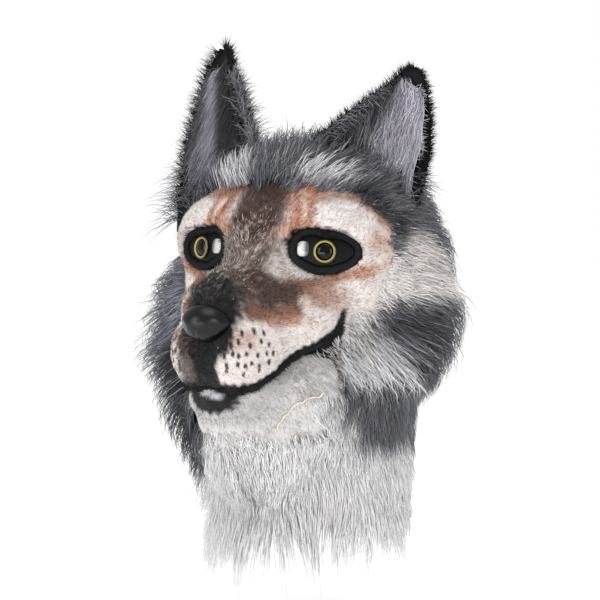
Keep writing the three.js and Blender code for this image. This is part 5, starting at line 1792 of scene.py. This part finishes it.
@dataclass
class LongFur:
    """The coats of long fur, which share one grid over the head."""

    columns: int = 180
    rows: int = 54
    root_rows: int = 84
    clump: float = 9.0
    swell_round: float = 116
    comb: Comb = Comb()
    margin_rounds: Row = (0, 34, 46, 60, 78, 90, 110, 125, 140, 152, 180)
    margins: Row = (2.5, 3.5, 9, 13, 16, 21, 22, 18, 16, 22, 26)
    layers: tuple[Layer, ...] = (
        Layer(0.52, 3, 0.72, (0.35, 0.85), 0.0),
        Layer(0.48, 4, 1.0, (0.6, 1.1), 0.07),
    )
    coats: tuple[Coat, ...] = (
        Coat("crown_coat", "crown_fur", 6700, 31, "grey_fur", 50),
        Coat("cheek_coat_left", "ruff_left", 11000, 45, "grey_fur", 51),
        Coat("cheek_coat_right", "ruff_right", 8600, 45, "grey_fur", 52),
        Coat("back_coat", "mane", 4600, 44, "grey_fur", 53),
        Coat("throat_coat", "throat_fur", 7600, 46, "white_fur", 54, 0.4),
    )

    def margin(self, rounds: Array) -> Array:
        """How far before the seam the hair begins, in degrees."""
        return np.interp(folded(rounds), self.margin_rounds, self.margins)

    def depth(self, outs: Array, rounds: Array) -> Array:
        """The hair's full height, which starts low before the seam."""
        ahead = smooth(outs, SEAM.at(rounds) - self.margin(rounds), SEAM.at(rounds) + 1)
        far = np.mod(rounds, 360) > 180
        wide, more = np.where(far, 32, 14), np.where(far, 15, 7)
        swell = more * np.exp(-(((folded(rounds) - self.swell_round) / wide) ** 2))
        full = swell * smooth(outs, 78, 92) * (1 - smooth(outs, 120, 150))
        return (DEPTH.at(outs, rounds) + full) * (0.12 + 0.88 * ahead)

    def grids(self) -> tuple[Array, Array, Array]:
        """The skin under the fur and the two faces of the backing."""
        rounds = around(self.columns)
        seam = SEAM.at(rounds) + 1.6
        outs = seam + np.linspace(0, 1, self.rows)[:, None] * (179.5 - seam)
        rounds = np.broadcast_to(rounds, outs.shape)
        ways = way_at(outs, rounds)
        depth = DEPTH.at(outs, rounds)
        rise = 0.12 + 0.36 * smooth(outs - seam, 0, 14)
        shares = (np.full(outs.shape, 0.25), rise, np.full(outs.shape, 0.06))
        return tuple(FORM.skin(FORM.whole, HEART, ways, share * depth) for share in shares)

    def root_grid(self) -> tuple[Array, Array]:
        """The surface that hair grows from, which begins before the seam, and its cells' density."""
        rounds = around(self.columns)
        angle = np.radians(rounds)
        start = SEAM.at(rounds) - self.margin(rounds) + 1.6 * np.sin(angle * 23) + 1.2 * np.sin(angle * 41)
        outs = start + np.linspace(0, 1, self.root_rows)[:, None] * (178 - start)
        rounds = np.broadcast_to(rounds, outs.shape)
        skin = FORM.skin(FORM.whole, HEART, way_at(outs, rounds), 0.08 * self.depth(outs, rounds) + 0.3)
        centres = cell_centres(skin)
        past = (outs - SEAM.at(rounds))[:-1]
        turn = folded(rounds[:-1])
        chin = (turn > 142) & (past < 0)
        lips = (centres[..., 2] > -112) & (-centres[..., 1] > 66) & (turn > 100)
        density = 1 + 1.3 * (1 - smooth(past, 0, 12)) * smooth(past, -20, -2)
        low = smooth(-centres[..., 2] + 3 * Ripple(16, 61).at(centres), 138, 152)
        density = density * np.where(chin, low, 1) * ~lips * (centres[..., 2] > HEM - HANG + 3)
        return skin, density

    def build(self, finishes: Finishes) -> None:
        """Builds each coat's backing and its hair."""
        skin, top, bottom = self.grids()
        floor = HEM - HANG
        reached = skin[..., 2] > floor
        keep = (reached[:-1] | reached[1:]) & (np.roll(reached, -1, 1)[:-1] | reached[:-1])
        for face in (top, bottom):
            face[..., 2] = np.maximum(face[..., 2], floor)
        centres = cell_centres(skin)
        roots, density = self.root_grid()
        root_centres = cell_centres(roots)
        for coat in self.coats:
            points, quads = block_shell(top, bottom, keep & coat.holds(centres))
            _, quads = outward_faces(points, NO_TRIANGLES, quads)
            piece = Piece(coat.name)
            tints = COLOURS.fur(points)
            # painted shade: the backing is darkened, most under dark fur, so the gaps between strands look
            # deep
            gap_shade = 0.4 + 0.5 * smooth(tints.mean(-1, keepdims=True), 0.1, 0.6)
            piece.add(points, tints * gap_shade, None, quads)
            rng = np.random.default_rng(coat.seed)
            for layer in self.layers:
                self.grow(piece, coat, layer, roots, density * coat.holds(root_centres), rng)
            piece.made(finishes.fur, coat.slot, (coat.node,))

    def grow(self, piece: Piece, coat: Coat, layer: Layer, grid: Array, density: Array,
             rng: Chance) -> None:
        """Grows one layer of a coat's hair: roots, paths over the head, clumps, and colours."""
        count = int(coat.hairs * layer.share)
        roots, _ = scattered(grid, count, rng, density)
        outs, rounds = bearings(roots)
        past = outs - SEAM.at(rounds)
        tall = layer.high[1] - (layer.high[1] - layer.high[0]) * rng.random(count) ** 1.7
        wisp = rng.random(count) < layer.wisps
        tall = np.where(wisp, tall * 1.2, tall)
        front = 1 - smooth(past, 0, 12)
        length = coat.length * layer.long * rng.uniform(0.6, 1.15, count) * np.where(wisp, 1.2, 1)
        length = length * np.interp(self.depth(outs, rounds), (2, 8, 20, 45), (0.4, 0.6, 0.95, 1.12))
        bib = coat.node == "throat_fur"
        length = length * (np.interp(-roots[:, 2], (140, 156, 190, 215), (0.5, 1, 1.1, 1.5)) if bib else 1)
        paths = self.paths(coat, roots, tall, length, front, layer.steps, rng)
        paths = self.gathered(paths, coat.calm, rng)
        self.lay(piece, self.held(paths), rng)

    def paths(self, coat: Coat, roots: Array, tall: Array, length: Array, front: Array, steps: int,
              rng: Chance) -> Array:
        """Walks each hair along the comb; hair at the front edge stands up first and leans back later."""
        place = roots
        path = [roots]
        low = FORM.whole(roots)
        lowest = np.array([-np.inf, -np.inf, HEM])
        chance = rng.normal(size=roots.shape) * 0.16 * coat.calm
        swirl = Ripple(55, coat.seed + 20).at(roots)[:, None] * 0.3 * coat.calm
        for k in range(1, steps):
            share = k / (steps - 1)
            above = np.maximum(place, lowest)
            normal = FORM.outward(FORM.whole, above)
            way = self.comb.at(place) + chance
            hanging = smooth(-place[:, 2], -HEM - 14, -HEM + 4)[:, None]
            way = way * (1 - hanging) + np.array([0, 0, -1.0]) * hanging
            tangent = unit(across_to(way, normal))
            tangent = unit(tangent + np.cross(normal, tangent) * swirl)
            advance = length / (steps - 1) * (1 - 0.45 * front * (1 - share))
            place = place + tangent * advance[:, None]
            above = np.maximum(place, lowest)
            full = self.depth(*bearings(above)) * tall
            want = low + np.maximum(full - low, 0.6) * math.sin(math.pi / 2 * share) ** 0.8
            place = place + FORM.outward(FORM.whole, above) * (want - FORM.whole(above))[:, None]
            path.append(place)
        return np.stack(path, 1)

    def gathered(self, paths: Array, calm: float, rng: Chance) -> Array:
        """Draws hairs that grow near one another together at their tips, and bends each a little."""
        cell = np.floor(paths[:, 0] / self.clump + Ripple(30, 60).at(paths[:, 0])[:, None] * 0.6).astype(int)
        _, group = np.unique(cell @ np.array([1, 1000, 1000000]), return_inverse=True)
        group = group.ravel()
        number = np.bincount(group).astype(float)
        flat = paths.reshape(len(paths), -1)
        middle = np.stack([np.bincount(group, flat[:, k]) for k in range(flat.shape[1])], 1) / number[:, None]
        middle = middle[group].reshape(paths.shape)
        share = np.linspace(0, 1, paths.shape[1])[:, None]
        pull = rng.uniform(0.15, 0.75, (len(paths), 1, 1)) * share ** 1.4
        paths = paths + (middle - paths) * pull
        bend = rng.normal(size=(len(paths), 1, 3)) * 2.2 * calm
        wave = np.sin(share * 5 + rng.uniform(0, 2 * np.pi, (len(paths), 1, 1))) * share
        return paths + bend * wave

    def held(self, paths: Array) -> Array:
        """Keeps hair inside the space it may take."""
        low, high = (np.array(corner) * 1000 + SEAT for corner in CAD_BOX)
        return np.clip(paths, low - HAIR_ROOM, high + HAIR_ROOM)

    def lay(self, piece: Piece, paths: Array, rng: Chance) -> None:
        """Lays the hairs down as strands, coloured by where they are seen, with painted shade towards their
        roots.
        """
        count, steps, _ = paths.shape
        seen = paths[:, 1] * 0.5 + paths[:, 2] * 0.5 + rng.normal(size=(count, 3)) * 2
        base = COLOURS.fur(seen)
        pale = smooth(base.mean(-1, keepdims=True), 0.12, 0.55)
        light = rng.uniform(0.7, 1.3, (count, 1)) ** 1.2
        base = np.clip(base * (light * (1 - pale) + (0.97 + 0.03 * light) * pale), 0, 0.93)
        stray = rng.random((count, 1))
        base = np.where(stray < 0.05, base * 0.5 + rgb("#d6d6db") * 0.5, base)
        base = np.where((stray > 0.96) & (pale < 0.5), base * 0.4, base)
        share = np.linspace(0, 1, steps)
        # painted shade deep in the coat: strands darken towards the root and lift at the tip, barely on pale
        # fur
        root_shade = np.interp(share, (0, 0.35, 0.7, 1), (0.5, 0.85, 1.0, 1.12))[:, None]
        root_shade = root_shade[None] * (1 - pale[:, None]) + (0.94 + 0.06 * share[:, None])[None] * pale[:, None]
        tints = np.clip(base[:, None] * root_shade, 0, 0.94)
        width = rng.uniform(0.4, 0.85, (count, 1)) * np.interp(share[:-1], (0, 0.4, 0.8), (1.0, 0.95, 0.6))
        width = width * (1 + 0.35 * smooth(pale, 0.6, 1))
        normal = FORM.outward(FORM.whole, paths[:, 1])
        strands(piece, paths, width, tints, normal)


# The studio


@dataclass(frozen=True)
class Softbox:
    """A large soft light: its place about the mask in metres, its size and its power."""

    name: str
    place: Spot
    size: tuple[float, float]
    power: float
    colour: Spot = (1, 1, 1)


def aimed(made: bpy.types.Object, place: Vector, target: Vector) -> None:
    """Sets a camera or a light down in the scene, facing a target."""
    made.location = place
    made.rotation_euler = (target - made.location).to_track_quat("-Z", "Y").to_euler()
    bpy.context.scene.collection.objects.link(made)


@dataclass
class Studio:
    """A white photo studio with a camera to the mask's left."""

    azimuth: float = 32
    elevation: float = 3
    distance: float = 1.65
    width_seen: float = 0.51
    aside: float = -0.0085
    below: float = -0.0425
    floor_height: float = -0.40
    floor_half: float = 4.0
    sensor: float = 36
    boxes: tuple[Softbox, ...] = (
        Softbox("soft_left", (-1.0, -1.9, 0.4), (0.8, 1.4), 14.0, (0.97, 0.98, 1.0)),
        Softbox("soft_right", (1.9, -1.3, 0.4), (0.8, 1.4), 16.0, (1.0, 0.99, 0.98)),
        Softbox("soft_low", (-0.1, -1.8, -0.16), (1.0, 0.3), 5.0),
        Softbox("soft_top", (0.3, -0.4, 2.0), (1.4, 1.4), 14.0),
    )

    def build(self) -> None:
        """Sets up the camera, the white surroundings, the lights and the floor."""
        scene = bpy.context.scene
        scene.view_settings.view_transform = "Standard"
        a, e = math.radians(self.azimuth), math.radians(self.elevation)
        back = Vector((math.sin(a) * math.cos(e), -math.cos(a) * math.cos(e), math.sin(e)))
        right = Vector((math.cos(a), math.sin(a), 0))
        up = back.cross(right)
        head = Vector(row_frame(np.zeros(3)))
        data = bpy.data.cameras.new("camera")
        data.sensor_width = self.sensor
        data.lens = self.sensor * self.distance / self.width_seen
        data.clip_end = 50
        camera = bpy.data.objects.new("camera", data)
        aimed(camera, head + back * self.distance, head + right * self.aside + up * self.below)
        scene.camera = camera
        for box in self.boxes:
            self.light(box, head)
        self.surroundings()
        self.floor()

    def light(self, box: Softbox, target: Vector) -> None:
        """Adds one soft light that faces the mask."""
        data = bpy.data.lights.new(box.name, "AREA")
        data.shape = "RECTANGLE"
        data.size, data.size_y = box.size
        data.energy = box.power
        data.color = box.colour
        aimed(bpy.data.objects.new(box.name, data), box.place, target)

    def surroundings(self) -> None:
        """A world that the camera sees as pure white and that lights the mask more gently."""
        world = bpy.data.worlds.new("white_studio")
        world.use_nodes = True
        tree = world.node_tree
        seen = add_node(tree, "LightPath").outputs["Is Camera Ray"]
        level = add_node(tree, "MapRange", {"Value": seen, "To Min": 0.55, "To Max": 1.0})
        feed(tree, tree.nodes["Background"], {"Color": (1, 1, 1, 1), "Strength": level.outputs["Result"]})
        bpy.context.scene.world = world

    def floor(self) -> None:
        """A plain pale floor under the mask."""
        half = self.floor_half
        corners = [(x * half, y * half, self.floor_height) for x, y in ((-1, -1), (1, -1), (1, 1), (-1, 1))]
        mesh = bpy.data.meshes.new("floor")
        mesh.from_pydata(corners, [], [(0, 1, 2, 3)])
        made, _, _ = principled("pale_floor", {
            "Base Color": (0.9, 0.9, 0.9, 1), "Roughness": 0.9,
            "Emission Color": (1, 1, 1, 1), "Emission Strength": 0.5,
        })
        mesh.materials.append(made)
        floor = bpy.data.objects.new("floor", mesh)
        bpy.context.scene.collection.objects.link(floor)


def main() -> None:
    """Builds every piece of the mask and the studio."""
    logging.basicConfig(level=logging.INFO, format="%(name)s %(message)s")
    finishes = Finishes()
    HeadLining().build(finishes)
    PlushFace().build(finishes)
    FleeceJaw().build(finishes)
    JawFringe().build(finishes)
    for seam in GLUE_SEAMS:
        seam.build(finishes)
    Nose().build(finishes)
    UpperLip().build(finishes)
    for eye in EYES:
        eye.build(finishes)
    for ear in EARS:
        ear.build(finishes)
    LongFur().build(finishes)
    Studio().build()


if __name__ == "__main__":
    main()
